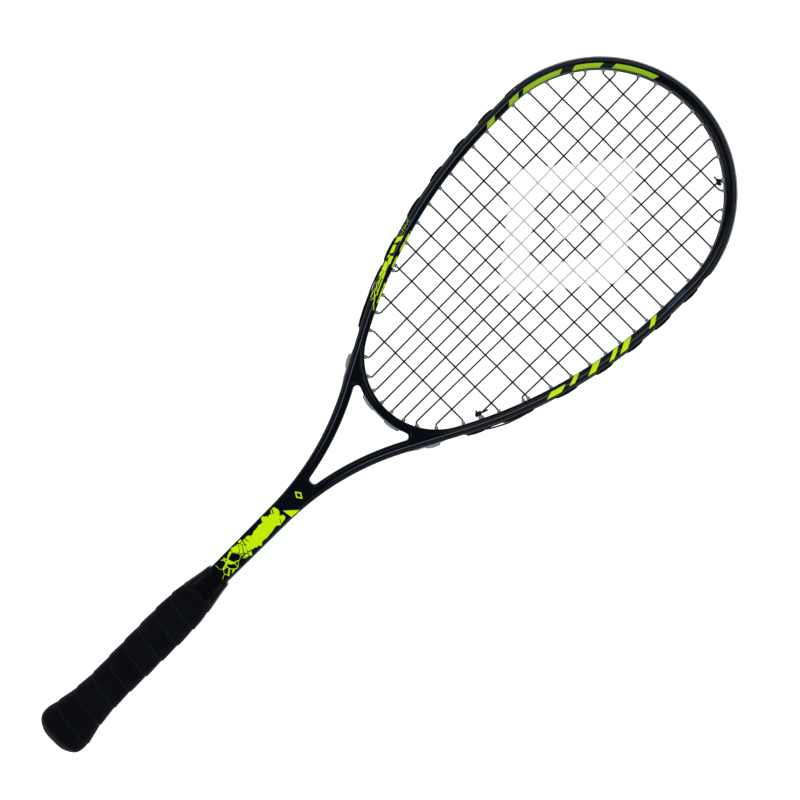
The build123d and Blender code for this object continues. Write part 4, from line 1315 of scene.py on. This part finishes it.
def grip_wrap():
    """Helical wrap: each turn laps over the one below it, so its lower edge stands proud."""
    rings = []
    lifts = []
    for turn in WRAP_TURNS:
        for phase in WRAP_PHASES:
            y = WRAP_SEAM_Y + WRAP_PITCH * (turn + phase + (TURN - pi) / (2 * pi))
            y = np.clip(y, WRAP_LOW_Y - WRAP_LOW_OVERRUN, TAPE_LOW_Y + WRAP_TOP_OVERRUN)
            depth = wrap_depth(y)
            sag = WRAP_SAG * (1 + ring_noise(y, spread=2.2, length=13.0))
            rings.append(grip_ring(y, depth + sag))
            lifts.append(1 - depth / WRAP_STEP)
    faces = []
    for row in range(len(rings) - 1):
        for column in range(RING_POINTS):
            after = (column + 1) % RING_POINTS
            shift = len(WRAP_PHASES) if after == 0 else 0
            if row + 1 + shift < len(rings):
                faces.append((
                    row * RING_POINTS + column, (row + shift) * RING_POINTS + after,
                    (row + 1 + shift) * RING_POINTS + after, (row + 1) * RING_POINTS + column,
                ))
    wrap = piece("grip_wrap_helix", "grip_pu", ["grip_wrap"], np.vstack(rings), faces, [GRIP],
                 attributes={"lift": np.concatenate(lifts)})
    shell = bmesh.new()
    shell.from_mesh(wrap.data)
    flattened = [face for face in shell.faces if face.calc_area() < NO_AREA]
    bmesh.ops.delete(shell, geom=flattened, context="FACES")
    rim = [edge for edge in shell.edges if edge.is_boundary]
    bmesh.ops.holes_fill(shell, edges=rim, sides=0)
    bmesh.ops.recalc_face_normals(shell, faces=shell.faces)
    shell.to_mesh(wrap.data)
    shell.free()


def turned(name, slot, node, material, rings, closed=False):
    """One piece of the handle, skinned over its rings."""
    build = Build()
    build.rings(rings, closed=closed)
    build.finish(name, slot, node, [material])


def butt_cap():
    """Domed end with its sleeve, which the handle's halves and the wrap hide."""
    # Height, and how far the ring lies inside the grip's outer form
    rows = [(0.0, 2.2), (0.05, 1.2), (0.3, 0.5), (0.9, 0.15)]
    rows += [(y, 0.12) for y in np.linspace(1.5, WRAP_LOW_Y - 1.0, 12)]
    rows += [(WRAP_LOW_Y - 0.6, 0.3), (WRAP_LOW_Y - 0.4, 0.9)]
    rows += [(y, WRAP_THICKNESS + 0.1) for y in np.linspace(WRAP_LOW_Y, CAP_TOP_Y, 14)]
    turned("butt_cap_moulding", "cap_plastic", "butt_cap", CAP, [grip_ring(*row) for row in rows])


def finishing_tape():
    """Two turns of vinyl tape over the wrap's end, slightly creased."""
    rings = []
    for y in np.linspace(TAPE_LOW_Y, TAPE_TOP_Y, TAPE_RING_COUNT):
        near = min(y - TAPE_LOW_Y, TAPE_TOP_Y - y)
        shrink = TAPE_EDGE_DROP * max(0.0, 1 - near / TAPE_EDGE_WIDTH) ** 2 + TAPE_INSET
        crease = TAPE_CREASE * ring_noise(y, spread=3.0, length=1.2)
        rings.append(grip_ring(y, shrink - crease))
    rings += [grip_ring(y, TAPE_INSIDE) for y in (TAPE_TOP_Y, TAPE_LOW_Y)]
    turned("finishing_tape_band", "tape_black", "finishing_tape", TAPE, rings, closed=True)


def grip_collar():
    """Glossy elastic sleeve with a rolled lip at its top and a bead where it grips the tape."""
    rings = []
    for share, offset in (
        (-0.1, -1.2), (-0.09, -0.35), (-0.06, -0.1), (0.0, -0.04), (0.12, -0.12), (0.3, -0.22),
        (0.5, -0.26), (0.65, -0.24), (0.76, -0.14), (0.82, -0.02), (0.86, 0.0), (0.9, -0.04),
        (0.95, -0.2), (0.985, -0.5), (1.0, -1.0),
    ):
        y, width, depth = COLLAR_LOW + (COLLAR_TOP - COLLAR_LOW) * share
        rings.append(rounded_ring(y, width / 2 + offset, depth / 2 + offset, COLLAR_POWER))
    turned("grip_collar_sleeve", "collar_rubber", "grip_collar", COLLAR, rings)


def inner_nodes():
    """Finishes for the CAD pieces that stay as they are, inside the handle."""
    for node, material in (
        ("pallet_front_half", FOAM), ("pallet_back_half", FOAM), ("shaft_end_plug", FOAM),
        ("butt_cap_staples", STEEL), ("grip_start_staple", STEEL),
    ):
        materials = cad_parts[node].data.materials
        materials.clear()
        materials.append(material)


# ---- studio
def studio():
    for name, place, size_y, power in (
        ("left_bank", (-1.5, 0.9, 1.5), 1.4, 17), ("right_bank", (1.5, -0.2, 1.5), 1.4, 17),
        ("head_bank", (0.9, 1.9, 1.4), 1.0, 14), ("butt_bank", (-0.9, -1.2, 1.4), 1.0, 14),
    ):
        data = bpy.data.lights.new(name, "AREA")
        data.shape = "RECTANGLE"
        data.size, data.size_y = 1.4, size_y
        data.energy = power
        light = placed(name, data)
        light.location = place
        light.rotation_euler = (LIGHT_AIM - Vector(place)).to_track_quat("-Z", "Y").to_euler()
    world = bpy.data.worlds.new("studio")
    world.use_nodes = True
    sky = world.node_tree.nodes["Background"].inputs
    sky["Color"].default_value = (0.9, 0.95, 1.0, 1.0)
    sky["Strength"].default_value = 0.12

    paint = Paint("floor_pale", Base_Color=(0.55, 0.55, 0.55, 1.0), Roughness=0.9,
                  Specular_IOR_Level=0.1, Emission_Color=(1.0, 1.0, 1.0, 1.0),
                  Emission_Strength=0.9)
    mesh = bpy.data.meshes.new("floor")
    low = CAD_BOX[0].z - FLOOR_GAP
    corners = (-1, -1), (1, -1), (1, 1), (-1, 1)
    mesh.from_pydata([(FLOOR_REACH * x, FLOOR_REACH * y, low) for x, y in corners], [],
                     [(0, 1, 2, 3)])
    mesh.materials.append(paint.material)
    placed("floor", mesh)

    data = bpy.data.cameras.new("photo_camera")
    data.sensor_width = 36.0
    data.lens = 102.6
    camera = placed("photo_camera", data)
    camera.location = (0.0033, 0.3658, 1.7208)
    camera.rotation_euler = (0.0, 0.0, radians(45))
    scene = bpy.context.scene
    scene.world = world
    scene.view_settings.view_transform = "Standard"
    scene.camera = camera


studio()
tube_shell()
guard_and_strips()
strings()
knots()
butt_cap()
grip_wrap()
finishing_tape()
grip_collar()
inner_nodes()
